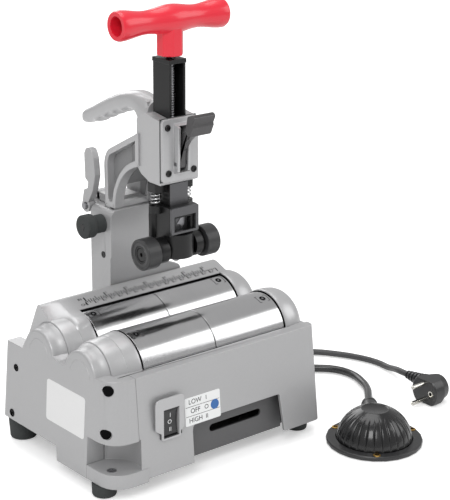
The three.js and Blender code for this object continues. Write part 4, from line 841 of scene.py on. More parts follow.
@dataclass
class Cords:
    """The mains cord with its plug's side, and the air hose to the pedal."""

    mains: Winding = field(default_factory=lambda: Winding(206, 135.5, 7, -90, 6, 38.5))
    hose: Winding = field(default_factory=lambda: Winding(4, 177, 8.5, 0, 3.75, 47))
    mains_lead: tuple = ((146.5, 85, 26), (152, 85, 26), (160, 85, 23.8), (168, 85, 18.2), (175, 85, 11),
                         (182, 85, 5.8))
    mains_run: tuple = ((229, 85, 8.4), (238, 83.5, 5), (250, 78, 3.8), (264.3, 68.5, 3.8), (279.5, 49, 3.8),
                        (292.5, 25.2, 3.8), (299.5, 0, 3.8), (297, -22, 5), (290, -40, 10.5),
                        (284.5, -51, 13.8), (283, -59.5, 14.5), (283, -66.2, 14.5))
    hose_lead: tuple = ((60, 122.5, 26.5), (60, 128, 26.5), (60, 138, 22.5), (60, 147, 15), (60, 155, 8.4))
    hose_run: tuple = ((36, 119.5, 9), (50, 119.5, 5.6), (66, 119.5, 4.55), (88, 119.5, 4.55),
                       (110, 118.5, 4.55), (130, 107, 4.55), (165, 81, 4.55), (200, 54, 4.55),
                       (230.3, 29.5, 4.55), (246, 12, 4.55), (250.5, -10, 4.55), (243, -34, 5.6),
                       (229, -57, 8), (212, -76, 10.6), (193.8, -96.0, 12), (188.4, -102.6, 12))

    def line(self, name: str, points: Sequence[Vector], diameter: float, finish: Finish) -> bpy.types.Object:
        """Makes one smooth round cord.

        Args:
            name: the cord's name.
            points: its centreline, in millimetres.
            diameter: its diameter, in millimetres.
            finish: its finish.

        Returns:
            The curve.
        """
        data = bpy.data.curves.new(name, "CURVE")
        data.dimensions = "3D"
        data.resolution_u = 3
        data.bevel_depth = diameter / 2 * MM
        data.bevel_resolution = 5
        data.use_fill_caps = True
        spline = data.splines.new("BEZIER")
        spline.bezier_points.add(len(points) - 1)
        for knot, point in zip(spline.bezier_points, points):
            knot.co = at(*point)
            knot.handle_left_type = knot.handle_right_type = "AUTO"
        data.materials.append(finish.made())
        made = bpy.data.objects.new(name, data)
        bpy.context.scene.collection.objects.link(made)
        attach(made, "frame")
        return made

    def build(self, plug: bpy.types.Object, pins: bpy.types.Object) -> None:
        """Makes both cords.

        Args:
            plug: not used.
            pins: not used.
        """
        mains = self.line("mains_cord", [*self.mains_lead, *self.mains.centres(), *self.mains_run],
                          self.mains.d, SHEATH)
        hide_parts("mains_lead", "mains_coil", "mains_run")
        hose = self.line("air_hose", [*self.hose_lead, *self.hose.centres(), *self.hose_run], self.hose.d,
                         HOSE)
        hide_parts("hose_lead", "hose_coil", "hose_run")


@dataclass
class MainsPlug:
    """The two-pin plug with its side relief."""

    x: float = 262.0
    y: float = -112.0
    z: float = 14.5
    r: float = 18.5
    flat: float = 13.7
    back: float = 28.0
    exit: float = 21.0
    pin_r: float = 2.4
    pin_gap: float = 9.5
    pin_long: float = 19.0
    socket_off: float = 10.0
    ridges: int = 5
    ridge_from: float = 3.0
    ridge_step: float = 5.0
    ridge_r: float = 8.2
    ridge_taper: float = 0.75
    relief_long: float = 27.0
    relief_tip: float = 4.6

    def squashed(self, form: Form) -> Form:
        """Cuts the round body flat above and below.

        Args:
            form: the round form.

        Returns:
            The flattened form.
        """
        for side in (-1, 1):
            cut(form.mesh, (0, 0, self.z + side * self.flat), (0, 0, side))
        return form

    def build(self) -> tuple[bpy.types.Object, bpy.types.Object]:
        """Builds the plug with its relief, pins and earth socket.

        Returns:
            The plug's body and its pins.
        """
        body = Form().turn([(0, self.x), (self.r - 1.2, self.x), (self.r, self.x + 1.2),
                            (self.r, self.x + 14), (self.r - 2.5, self.x + 16),
                            (self.r - 4.5, self.x + self.back - 3), (self.r - 8, self.x + self.back),
                            (0, self.x + self.back)], Axis.X, (self.y, self.z), 56)
        made = self.squashed(body).bevel(0.8, 2).piece(
            "plug_body", "frame", BLACK, "black_plastic", ["mains_plug"])
        start = self.y + 4
        relief = [(0, start), (8.5, start), (8.5, self.y + self.r)]
        for i in range(self.ridges):
            place = self.y + self.r + self.ridge_from + self.ridge_step * i
            radius = self.ridge_r - self.ridge_taper * i
            relief += [(radius, place), (radius - 1.4, place + 0.6), (radius - 1.5, place + 2.2),
                       (radius - 0.3, place + 2.8)]
        tip = self.y + self.r + self.relief_long
        relief += [(self.relief_tip, tip), (0, tip)]
        Form().turn(relief, Axis.Y, (self.x + self.exit, self.z), 36).piece(
            "plug_relief", "frame", BLACK, "black_plastic")
        pins = Form()
        for side in (-1, 1):
            tip = self.x - self.pin_long
            pins.turn([(0, tip), (self.pin_r - 1, tip), (self.pin_r, tip + 1.5), (self.pin_r, self.x + 1),
                       (0, self.x + 1)], Axis.X, (self.y, self.z + side * self.pin_gap), 28)
        metal = pins.piece("plug_pins", "frame", NICKEL, "steel")
        socket, face = (self.y - self.socket_off, self.z), self.x
        Form().turn(washer(2.2, 3.3, face - 0.3, face + 0.5), Axis.X, socket, 32).piece(
            "plug_socket_ring", "frame", NICKEL, "steel")
        Form().turn(disc(2.2, face - 0.1, face + 0.4), Axis.X, socket, 24).piece(
            "plug_socket_hole", "frame", INK, "black_plastic")
        return made, metal


@dataclass
class Castings:
    """The painted castings and the plain fabricated pieces."""

    shells: tuple = (("base_housing", "frame", CASTING, "casting", 0.7),
                     ("left_end_cover", "frame", CASTING, "casting", 0.7),
                     ("bracket", "frame", CASTING, "casting", 0.6),
                     ("cover_plate", "swing_arm", CASTING_WARM, "casting", 0.5),
                     ("latch_lever", "latch", CASTING, "casting", 0.5),
                     ("switch_bezel", "frame", CASTING_WARM, "casting", 0.5),
                     ("quick_lever", "quick_lever_unit", LEVER, "lever_grey", 0.6),
                     ("column", "column_unit", BLACKENED, "blackened", 0.3),
                     ("ram_post", "column_unit", BLACKENED, "steel", 0.3),
                     ("carriage", "carriage_unit", BLACKENED, "blackened", 0.4),
                     ("carriage_front_plate", "carriage_unit", DARK_STEEL, "steel", 0.3))
    kept: tuple = (
        (PANEL, "bottom_plate inner_panel gearmotor"), (BLACK, "mains_gland hose_fitting"),
        (MACHINED, "drive_gear front_gear rear_gear front_shaft rear_shaft hinge_pin lever_pin"),
        (MACHINED, "half_nut cutter_pin"),
        (MACHINED, "front_bearing_left front_bearing_right rear_bearing_left rear_bearing_right"),
        (BLACKENED, "guide_axle_left guide_axle_right"),
    )

    def build(self) -> None:
        """Rounds the castings and gives the kept nodes their finish."""
        for node, body, finish, slot, width in self.shells:
            rounded_copy(node, body, finish, slot, width)
        for finish, names in self.kept:
            for name in names.split():
                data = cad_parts[name].data
                data.materials.clear()
                data.materials.append(finish.made())


@dataclass
class TopShell:
    """The top cover: two nosed barrels at each end, the ruler's deck and the rims of the slot."""

    left: float = -126.0
    left_blend: float = 22.0
    right: float = 100.0
    right_blend: float = 18.0
    trough_r: float = 36.8
    right_end: float = 116.5
    wall_y: tuple = (-75.0, 79.5)
    foot: float = 104.3
    wall_top: float = 117.0
    rail_low: float = 116.0
    rail_top: float = 119.8
    rail_back: float = -60.0
    sill_back: float = -72.1
    sill_past: float = 4.0
    slot: tuple = (-92.3, 91.9)
    roller_y: float = 36.2
    roller_z: float = 112.5
    nose: tuple = ((12.7, -126), (31.2, -126), (32.0, -125.3), (32.5, -123.5), (33.3, -116), (33.9, -109.3),
                   (33.65, -109), (33.65, -108.5), (34.0, -108.2), (35.0, -100), (35.5, -95), (35.5, -93.2),
                   (35.2, -92.5), (34.7, -92.3), (12.7, -92.3))
    dome: tuple = ((12.7, 91.9), (36.0, 91.9), (36.7, 92.5), (37, 93.5), (37, 98), (36.6, 104),
                   (35.6, 109.5), (33.8, 113.4), (31, 116.6), (27.2, 118.9), (22, 120.3), (14, 120.9),
                   (0, 121), (0, 118), (12.7, 112.6))
    end_line: tuple = ((4, 104.3), (4, 115.5, 1), (9, 117.5, 3), (15.5, 123, 4), (24, 130, 6),
                       (35.8, 140, 8), (55, 156.6, 3), (59, 157, 2), (61.5, 154.4, 2), (86, 104.3))
    deck_line: tuple = ((4, 104.3), (4, 117, 1), (8.6, 129.5, 4), (15.6, 142.6, 5), (24, 147.6, 5),
                        (35.8, 149.7, 5), (55, 157.2, 3), (59, 157.6, 2), (61.5, 155, 2), (86, 104.3))
    right_line: tuple = ((4, 104.3), (4, 114, 1), (8.6, 122, 3), (15.6, 128, 3), (24, 130, 4),
                         (35.8, 131, 4), (49, 133, 4), (54, 132.5, 2), (58, 130, 2), (80, 104.3))

    def between(self, first: Sequence[Point], second: Sequence[Point],
                share: float) -> list[tuple[float, float]]:
        """Returns the rounded outline at a share of the way between two lines.

        Args:
            first: the line at share 0.
            second: the line at share 1.
            share: how far along.

        Returns:
            The outline.
        """
        ease = share * share * (3 - 2 * share)
        a, b = rounded(first), rounded(second)
        return [(p[0] + (q[0] - p[0]) * ease, p[1] + (q[1] - p[1]) * ease) for p, q in zip(a, b)]

    def build(self) -> None:
        """Makes the cover, and black strips of painted shade in the gaps round the slot."""
        low, high = self.slot
        form = Form()
        for side in (-1, 1):
            axis = (side * self.roller_y, self.roller_z)
            form.turn([*self.nose, self.nose[0]], Axis.X, axis, 96)
            form.turn([*self.dome, self.dome[0]], Axis.X, axis, 96)
        left = [(self.left + self.left_blend * i / 10, self.between(self.end_line, self.deck_line, i / 10))
                for i in range(11)]
        form.loft([*left, (low, rounded(self.deck_line))], Axis.X)
        right = [(self.right + self.right_blend * i / 8, self.between(self.deck_line, self.right_line, i / 8))
                 for i in range(9)]
        form.loft([(high, rounded(self.deck_line)), *right], Axis.X)
        turns = [math.radians(100 - 100 * i / 16) for i in range(17)]
        hollow = [(self.roller_y + self.trough_r * math.sin(a), self.roller_z + self.trough_r * math.cos(a))
                  for a in turns]
        deck = rounded([(36.6, 149.9, 0.6), (55, 157.2, 3), (59, 157.6, 2), (61.5, 155, 2), (86, 104.3, 0),
                        (73.5, 104.3, 0)])
        form.prism([*deck, *hollow], Axis.X, low - 0.2, high + 0.2)
        form.piece("top_cover_cast", "frame", CASTING_WARM, "casting", ["top_cover"])
        rims = Form()
        front, back = self.wall_y
        for start, end in ((self.left, low), (high, self.right_end)):
            rims.block((start, front, self.foot), (end, back, self.wall_top))
            rims.block((start, front, self.rail_low), (end, self.rail_back, self.rail_top))
        rims.block((low - self.sill_past, front, self.foot), (high + self.sill_past, self.sill_back,
                                                              self.rail_top))
        rims.bevel(0.7, 3).piece("top_cover_rims", "frame", CASTING_WARM, "casting")
        # Black strips along the slot's edges and black rings at the sleeve ends: painted shade in the gaps
        # beside the rollers.
        shade_strips = Form()
        shade_strips.block((low, 36.8, 146.6), (high, 38.4, 149.3)).block((low, -72.1, 112), (high, -70.9, 119.2))
        for side in (-1, 1):
            for place in (low + 0.35, high - 0.35):
                shade_strips.turn(washer(28, 35.9, place - 0.4, place + 0.4), Axis.X,
                           (side * self.roller_y, self.roller_z), 72)
        shade_strips.piece("slot_painted_shade", "frame", INK, "black_plastic")


@dataclass
class EndNoses:
    """The rounded lips of the left end cover over the gears."""

    y: float = 36.0
    z: float = 113.0
    lean: float = 7 / 110
    lean_from: float = -130.0
    lean_over: float = 6.0
    rise: float = 3.0
    arc: tuple = ((16.4, -142.2), (16.8, -142.85), (17.4, -142.85), (17.8, -142.2), (16.4, -142.2))
    profile: tuple = ((23.2, -136.5), (23.2, -142.6), (23.6, -142.9), (24.2, -142.9), (25.4, -142.5),
                      (26.3, -141.5), (26.6, -140), (26.8, -137), (27.2, -134.5), (28.4, -131.5),
                      (29.8, -128.6), (30.5, -126.4), (27, -126.4), (24, -130), (23.2, -136.5))

    def build(self) -> None:
        """Makes both lips and the raised arcs inside them."""
        form = Form()
        for side in (-1, 1):
            form.turn(self.profile, Axis.X, (side * self.y, self.z), 96)
            form.turn(self.arc, Axis.X, (side * self.y, self.z), 96)
        for vert in form.mesh.verts:
            share = min(max((self.lean_from - vert.co.x) / self.lean_over, 0), 1)
            vert.co.x += (vert.co.z - self.z) * self.lean * share
        cut(form.mesh, (0, 0, self.z + self.rise), (0, 0, 1), keep_ahead=True)
        form.piece("end_cover_lips", "frame", CASTING, "casting")


@dataclass
class ArmCasting:
    """The swing arm: the head block, the ribbed beam, its feet and the carry handle."""

    beam: tuple = ((24, 326), (78.7, 297, 6), (84, 285, 6), (83, 236.3, 0.5), (66, 236.3, 0.5),
                   (63.9, 251.7, 5), (57, 268, 9), (44, 282, 9), (24, 291.3, 0.5))
    pocket: tuple = ((30, 316), (75, 292, 4), (78.5, 284, 4), (77.5, 243, 3), (70.5, 243, 3), (68, 256, 4),
                     (60, 273, 9), (46, 288, 9), (30, 296, 0.5))
    cheek: tuple = ((44, 280), (46, 236.3, 2), (104, 236.3, 0), (107, 246, 3), (90, 262, 8), (82, 291.3, 0))
    crest: tuple = ((22, 356), (40, 359), (54, 360), (70, 357.5), (86, 352), (100, 345.8), (116, 338),
                    (130, 331), (142, 325.5), (150, 321))
    grip: tuple = ((22, 316), (37, 316.5), (40, 321), (43, 330), (47, 337), (53, 341), (60, 341), (66, 338),
                   (72, 335), (76, 335.8), (82, 333.2), (88, 329.2), (92, 329.8), (98, 327), (104, 322.3),
                   (108, 322.8), (113, 320), (119, 315.8), (123, 316.3), (130, 314), (137, 311),
                   (144, 310.5), (150, 312))
    width: tuple = ((22, 15), (36, 12.5), (60, 12.8), (100, 12.3), (130, 10.6), (150, 9.0))
    web_line: tuple = ((84, 285, 6), (83.4, 262), (62, 262), (57, 268, 6), (44, 282, 6), (24, 291.3),
                       (24, 326), (78.7, 297, 6))
    foot_blocks: tuple = (
        ((-25, 66, 236.3), (23, 83, 243)), ((-18.7, 74, 236.3), (12.7, 107, 245.6)),
        ((-18.7, 101, 232), (12.7, 113.4, 245.6)), ((-25, 74, 212.3), (-20.2, 82, 240)),
    )
    barrel: tuple = (7, -18.7, 12.7)
    pivot: tuple = (107, 232)
    block_back: float = 29.1
    left_rim: tuple = (-25.15, -18, -13)
    right_rim: tuple = (17, 23.15)
    tip_from: float = 142.0
    tip_long: float = 8.2
    around: int = 40

    def add_block(self) -> None:
        """Makes the head block from the CAD shape in front of the beam."""
        form = Form().from_cad("arm")
        cut(form.mesh, at(0, self.block_back, 0), (0, 1, 0))
        form.soften(1.2, 3, True)
        form.piece("arm_block", "swing_arm", CASTING_WARM, "casting", ["arm"], metres=True)

    def add_beam(self) -> None:
        """Makes the beam's rim and web, the right cheek, the feet and the hinge barrel."""
        outer, inner = rounded(self.beam), rounded(self.pocket)
        left, ledge, inside = self.left_rim
        rim = Form().loft([(left, outer), (ledge, outer), (inside, outer), (inside, inner), (left, inner)],
                          Axis.X, True)
        near, far = self.right_rim
        rim.loft([(near, outer), (far, outer), (far, inner), (near, inner)], Axis.X, True)
        rim.bevel(1.1, 3, 40).piece("arm_rims", "swing_arm", CASTING_WARM, "casting")
        web = Form().prism(rounded(self.pocket[:3] + ((78, 262, 0), (67, 262, 0)) + self.pocket[6:]), Axis.X,
                           -16, 20)
        web.prism(rounded(self.web_line), Axis.X, -13.2, 17.2)
        web.prism(inner, Axis.X, -16.2, -12.9).prism(inner, Axis.X, 16.9, 20.2)
        web.loft([(28.5, [(-24.7, 297), (-24.7, 315.2), (-13, 315.2), (-13, 297)]),
                  (47, [(-16.1, 287.5), (-16.1, 306.6), (-13, 306.6), (-13, 287.5)])], Axis.Y)
        # The web takes the darker casting grey: painted shade in the arm's deep pocket.
        web.piece("arm_web", "swing_arm", WEB_PAINTED_SHADE, "casting")
        foot = Form().turn(disc(*self.barrel), Axis.X, self.pivot, 48)
        for low, high in self.foot_blocks:
            foot.block(low, high)
        foot.prism(rounded(self.cheek), Axis.X, 19.5, 23)
        foot.bevel(0.8, 2, 40).piece("arm_feet", "swing_arm", CASTING_WARM, "casting")

    def add_handle(self) -> None:
        """Makes the carry handle with its finger waves."""
        stations = [22 + 1.6 * i for i in range(76)]
        tip = [143.6, 145.4, 146.9, 148.2, 149.1, 149.7, 150]
        sections = []
        for y in [y for y in stations if y < 143] + tip:
            top, bottom, half = eased(self.crest, y), eased(self.grip, y), eased(self.width, y)
            shrink = math.sqrt(max(1 - max((y - self.tip_from) / self.tip_long, 0) ** 2, 0.01))
            middle, tall = (top + bottom) / 2, (top - bottom) / 2 * shrink
            ring = []
            for i in range(self.around):
                c, d = math.cos(TURN * i / self.around), math.sin(TURN * i / self.around)
                across = math.copysign(abs(c) ** 0.8, c)
                up = math.copysign(abs(d) ** (0.62 if d > 0 else 0.5), d)
                ring.append((half * shrink * across, middle + tall * up))
            sections.append((y, ring))
        Form().loft(sections, Axis.Y).piece("carry_handle", "swing_arm", CASTING_WARM, "casting")

    def build(self) -> None:
        """Makes the whole casting."""
        self.add_block()
        self.add_beam()
        self.add_handle()


@dataclass
class Rollers:
    """The ground sleeves with their screws and etched marks."""

    r: float = 35.0
    y: float = 36.2
    z: float = 112.5
    end: float = 90.6
    shaft: float = 12.3
    screw_x: float = 81.5
    lean: float = math.radians(16)
    tilt: float = -16.0
    mark_gap: float = 6.6
    mark_angle: float = 8.5
    mark_hook: float = 2.6
    screw_parts: tuple = (
        ("recess", disc(2.9, -0.5, 0.08), INK, "black_plastic"),
        ("socket", disc(1.2, -0.4, 0.14), MACHINED, "steel"),
        ("rim", ((2.9, -0.5), (3.5, -0.5), (3.5, 0.04), (2.9, 0.1), (2.9, -0.5)), ETCH, "steel"),
    )

    def arc_strip(self, form: Form, axis_y: float, x: Point, angles: Point) -> None:
        """Adds a thin strip that lies on a sleeve.

        Args:
            form: the form to add to.
            axis_y: the roller's place.
            x: where the strip starts and ends along the roller.
            angles: its first and last angle from the top, in degrees.
        """
        lift = self.r + 0.05
        steps = 6
        angle = [math.radians(angles[0] + (angles[1] - angles[0]) * i / steps) for i in range(steps + 1)]
        outer = [(axis_y + lift * math.sin(a), self.z + lift * math.cos(a)) for a in angle]
        inner = [(axis_y + (lift - 0.1) * math.sin(a),
                  self.z + (lift - 0.1) * math.cos(a)) for a in reversed(angle)]
        form.prism(outer + inner, Axis.X, *x)

    def build(self) -> None:
        """Makes the four sleeves, their set screws and marks."""
        for place, side_y in (("front", -1), ("rear", 1)):
            axis_y = side_y * self.y
            for side, name in ((-1, "left"), (1, "right")):
                low, high = sorted((side * SEAT, side * self.end))
                sleeve = Form().turn([
                    (self.shaft, low), (self.r - 0.5, low), (self.r, low + 0.5), (self.r, high - 0.5),
                    (self.r - 0.5, high), (self.shaft, high), (self.shaft, low),
                ], Axis.X, (axis_y, self.z), 96)
                node = f"{place}_sleeve_{name}"
                sleeve.piece(f"{node}_ground", f"{place}_roller", GROUND, "roller_steel", [node])
                turned = Matrix.Translation((0, axis_y, self.z)) @ Matrix.Rotation(self.lean, 4, "X")
                for key, profile, finish, slot in self.screw_parts:
                    raised = [(r, self.r + up) for r, up in profile]
                    screw = Form().turn(raised, Axis.Z, (side * self.screw_x, 0), 24).moved(turned)
                    screw.piece(f"{node}_{key}", f"{place}_roller", finish, slot)
                marks = Form()
                edges = (self.tilt - self.mark_angle, self.tilt + self.mark_angle)
                for along in (-1, 1):
                    x0 = side * self.screw_x + along * self.mark_gap
                    self.arc_strip(marks, axis_y, (x0 - 0.35, x0 + 0.35), edges)
                    for edge in edges:
                        self.arc_strip(marks, axis_y, sorted((x0, x0 - along * self.mark_hook)),
                                       (edge - 0.6, edge + 0.6))
                marks.piece(f"{node}_marks", f"{place}_roller", ETCH, "steel")


@dataclass
class BaseTrim:
    """Feet, switch, labels, ruler and small holes of the base."""

    feet: tuple = (("front_left", -138, -68, 12.2, 12.5, 12.7), ("front_right", 111, -70, 11.2, 12, 12.7),
                   ("rear_left", -126, 95, 14, 15.5, 25.2), ("rear_right", 104, 86, 11.2, 12, 12.7))
    face_low: tuple = (-96.0, 16.0)
    face_high: tuple = (-87.0, 121.0)
    rocker: tuple = (-85.0, -67.5, 54.0, 81.0)
    speed: tuple = (-56.5, -12.0, 56.0, 85.0)
    side_label: tuple = (-47.0, 19.0, 52.0, 95.0)
    inch_zero: float = -77.2
    centimetre_zero: float = -78.7
    inch: float = 25.4
    deck_line: tuple = ((35.8, 149.7), (55.0, 157.2))
    centimetres: int = 17
    inches: int = 6
    spine: float = 9.4
    words: tuple = (("LOW", "I"), ("OFF", "O"), ("HIGH", "II"))
    switch_z: float = 73.5
    switch_out: float = 4.0
    end_low: tuple = (-148.0, 28.0)
    end_high: tuple = (-141.0, 138.0)
    pillar_screws: tuple = ((-139.6, -80.5, 112), (-142.6, -79.5, 68))
    pillar_turn: float = -25.0
    end_screws: tuple = ((76, 87), (82, 36))
    foot_screw: tuple = (-136, -78, 28)

    def face_y(self, z: float) -> float:
        """Returns where the front wall is at a height."""
        share = (z - self.face_low[1]) / (self.face_high[1] - self.face_low[1])
        return self.face_low[0] + (self.face_high[0] - self.face_low[0]) * share

    def add_feet(self) -> None:
        """Makes the four moulded feet."""
        for name, x, y, r, top_r, top in self.feet:
            profile = [(0, 0), (r - 2, 0), (r - 0.6, 0.5), (r, 1.8), (top_r, top - 0.8), (top_r - 0.6, top),
                       (0, top)]
            Form().turn(profile, Axis.Z, (x, y), 48).piece(
                f"foot_{name}_moulded", "frame", RUBBER, "dark_rubber", [f"foot_{name}"])

    def on_front(self, form: Form, x: Point, z: Point, proud: float, deep: float = 0.4) -> None:
        """Adds a thin plate that lies on the sloping front wall.

        Args:
            form: the form to add to.
            x: its left and right edge.
            z: its lower and upper edge.
            proud: how far it stands out.
            deep: how far it reaches into the wall.
        """
        low, high = self.face_y(z[0]), self.face_y(z[1])
        form.prism([(low - proud, z[0]), (high - proud, z[1]), (high + deep, z[1]), (low + deep, z[0])],
                   Axis.X, *x)

    def front_matrix(self, x: float, z: float, proud: float) -> Matrix:
        """Returns the plane of the front wall at a place.

        Args:
            x: the place along the wall.
            z: the height.
            proud: how far the plane stands out.

        Returns:
            The plane's matrix.
        """
        rise = (0.0, self.face_high[0] - self.face_low[0], self.face_high[1] - self.face_low[1])
        return plane_matrix(at(x, self.face_y(z) - proud, z), (1, 0, 0), rise)

    def add_switch(self) -> None:
        """Makes the rocker with its generic marks, and the frame round it."""
        x0, x1, z0, z1 = self.rocker
        middle = (z0 + z1) / 2
        face = self.face_y(self.switch_z)
        out = face - self.switch_out
        outline = [(out + 1.4, z0 + 0.6), (out + 2.4, z0 + 7), (out + 2.9, middle), (out + 2.4, z1 - 7),
                   (out + 1.4, z1 - 0.6), (face + 0.5, z1 - 2), (face + 2.2, middle), (face + 0.5, z0 + 2)]
        Form().prism(outline, Axis.X, x0, x1).bevel(0.5, 2, 40).piece(
            "rocker_cap", "rocker", BLACK, "black_plastic", ["switch_rocker"])
        for text, z, depth in (("I", z1 - 6, 1.9), ("O", middle, 2.8), ("II", z0 + 6, 1.9)):
            plane = plane_matrix(at((x0 + x1) / 2, out + depth - 0.12, z), (1, 0, 0), (0, 0, 1))
            lettering(f"rocker_mark_{text.lower()}", text, 6.2, plane, "rocker", WHITE, "black_plastic")
        edging = Form()
        for left, right, low, high in ((x0 - 1.9, x0 - 0.4, z0 - 1, z1 + 4.4),
                                       (x1 + 0.4, x1 + 4.2, z0 - 1, z1 + 4.4),
                                       (x0 - 1, x1 + 1, z1 + 0.6, z1 + 4.4),
                                       (x0 - 1, x1 + 1, z0 - 1.4, z0 - 0.2)):
            edging.block((left, out - 0.5, low), (right, out + 6, high))
        edging.bevel(0.3, 2).piece("switch_frame", "frame", BLACK, "black_plastic")

    def add_speed_label(self) -> None:
        """Makes the speed label beside the switch, with its words, marks and disc."""
        sx0, sx1, sz0, sz1 = self.speed
        plate = Form()
        plate.prism(rounded([(sx0, sz0, 2), (sx1, sz0, 2), (sx1, sz1, 2), (sx0, sz1, 2)]), Axis.Y, 0.0, 0.6)
        for vert in plate.mesh.verts:
            vert.co.y += self.face_y(vert.co.z) - 0.25
        plate.piece("speed_label", "frame", WHITE, "casting")
        height = (sz1 - sz0) / len(self.words)
        for index, (text, mark) in enumerate(self.words):
            z = sz1 - height * (index + 0.5)
            lettering(f"speed_word_{text.lower()}", text, 7.0, self.front_matrix(sx0 + 13, z, 0.3), "frame",
                      INK, "casting")
            lettering(f"speed_sign_{index}", mark, 6.5, self.front_matrix(sx0 + 27, z, 0.3), "frame", INK,
                      "casting")
        lines = Form()
        for index in (1, 2):
            z = sz1 - height * index
            self.on_front(lines, (sx0 + 1, sx1 - 1), (z - 0.2, z + 0.2), 0.3)
        lines.piece("speed_label_lines", "frame", INK, "casting")
        dot = Form()
        bmesh.ops.create_circle(dot.mesh, cap_ends=True, radius=5.2 * MM, segments=36,
                                matrix=self.front_matrix(sx1 - 7, (sz0 + sz1) / 2, 0.32))
        dot.piece("speed_label_disc", "frame", BLUE, "casting", metres=True)

    def add_side_label(self) -> None:
        """Makes the bare plate on the left side."""
        y0, y1, z0, z1 = self.side_label
        plate = Form().prism(rounded([(y0, z0, 4), (y1, z0, 4), (y1, z1, 4), (y0, z1, 4)]), Axis.X, 0.0, 0.6)
        for vert in plate.mesh.verts:
            vert.co.x += self.side_x(vert.co.z) - 0.25
        plate.piece("side_plate", "frame", LABEL, "casting")

    def side_x(self, z: float) -> float:
        """Returns where the left end face is at a height."""
        share = min(max((z - self.end_low[1]) / (self.end_high[1] - self.end_low[1]), 0), 1)
        return self.end_low[0] + (self.end_high[0] - self.end_low[0]) * share

    def deck_point(self, x: float, share: float, proud: float) -> tuple[Vector, Vector]:
        """Returns a place on the ruler's sloping strip and the strip's rise.

        Args:
            x: the place along the rollers.
            share: 0 at the slot's edge and 1 at the back of the strip.
            proud: how far above the strip.

        Returns:
            The place in metres and the direction across the strip.
        """
        (y0, z0), (y1, z1) = self.deck_line
        rise = Vector((0, y1 - y0, z1 - z0))
        place = Vector((x, y0, z0)) + rise * share
        normal = Vector((0, -rise.z, rise.y)).normalized()
        return at(*(place + normal * proud)), rise

    def add_ruler(self) -> None:
        """Prints centimetre ticks in front, inch ticks behind, and their numbers."""
        (y0, z0), (y1, z1) = self.deck_line
        slope = math.hypot(y1 - y0, z1 - z0)
        ticks = Form()

        def tick(x: float, start: float, long: float, wide: float) -> None:
            """Adds one tick.

            Args:
                x: its place along the ruler.
                start: where it starts across the strip, in millimetres.
                long: its length.
                wide: its width.
            """
            corners = []
            for proud in (0.05, -0.2):
                for share in (start / slope, (start + long) / slope):
                    corners.append((self.deck_point(x, share, proud)[0] - ORIGIN) / MM)
            outline = [(c.y, c.z) for c in (corners[0], corners[1], corners[3], corners[2])]
            ticks.prism(outline, Axis.X, x - wide / 2, x + wide / 2)

        for i in range(self.centimetres * 4 + 1):
            long = 5.4 if i % 4 == 0 else 3.2 if i % 2 == 0 else 1.9
            tick(self.centimetre_zero + 2.5 * i, self.spine - long, long, 1.2 if i % 4 == 0 else 0.9)
        for i in range(self.inches * 8 + 1):
            long = 6.4 if i % 8 == 0 else 4.6 if i % 4 == 0 else 3.0 if i % 2 == 0 else 2.2
            tick(self.inch_zero + self.inch * i / 8, self.spine, long, 0.9 if i % 8 else 1.4)
        ticks.piece("ruler_ticks", "frame", INK, "casting")
        for text, start in (("IN", 14.0), ("CM", 5.4)):
            place, rise = self.deck_point(self.inch_zero - 5.5, start / slope, 0.1)
            lettering(f"ruler_{text.lower()}", text, 4.6, plane_matrix(place, (1, 0, 0), rise), "frame", INK,
                      "casting")
        for i in range(1, self.centimetres):
            place, rise = self.deck_point(self.centimetre_zero + 10 * i + 2.2, 4.6 / slope, 0.1)
            lettering(f"ruler_cm_{i}", str(i), 3.4, plane_matrix(place, (1, 0, 0), rise), "frame", INK,
                      "casting")
        for i in range(1, self.inches + 1):
            place, rise = self.deck_point(self.inch_zero + self.inch * i + 2.6, 14.6 / slope, 0.1)
            lettering(f"ruler_inch_{i}", str(i), 4.4, plane_matrix(place, (1, 0, 0), rise), "frame", INK,
                      "casting")

    def add_holes(self) -> None:
        """Puts dark socket screws into the holes of the left end cover."""
        for index, (x, y, z) in enumerate(self.pillar_screws):
            turned = Matrix.Translation((x, y, z)) @ Matrix.Rotation(math.radians(self.pillar_turn), 4, "Z")
            form = Form().turn(disc(5.0, 0.6, 2.4), Axis.Y, (0, 0), 36).moved(turned)
            form.piece(f"pillar_screw_{index}", "frame", INK, "black_plastic")
        foot_x, foot_y, foot_z = self.foot_screw
        Form().turn([(0, foot_z + 0.2), (1.5, foot_z + 0.2), (1.5, foot_z + 1), (3, foot_z + 1),
                     (3.6, foot_z + 0.4), (4.8, foot_z + 0.3), (4.8, foot_z - 0.4), (0, foot_z - 0.4)],
                    Axis.Z, (foot_x, foot_y), 32).piece("foot_screw", "frame", MACHINED, "steel")
        for index, (y, z) in enumerate(self.end_screws):
            x = self.side_x(z)
            Form().turn(washer(2.8, 4.2, x - 0.15, x + 0.6), Axis.X, (y, z), 32).piece(
                f"end_cover_ring_{index}", "frame", INK, "black_plastic")
            head = [(0, x + 1.6), (1.4, x + 1.6), (1.4, x + 0.6), (2.9, x + 0.6), (2.9, x + 6.2),
                    (0, x + 6.2)]
            Form().turn(head, Axis.X, (y, z), 24).piece(
                f"end_cover_screw_{index}", "frame", BLACKENED, "blackened")

    def build(self) -> None:
        """Makes all the trim."""
        self.add_feet()
        self.add_switch()
        self.add_speed_label()
        self.add_side_label()
        self.add_ruler()
        self.add_holes()


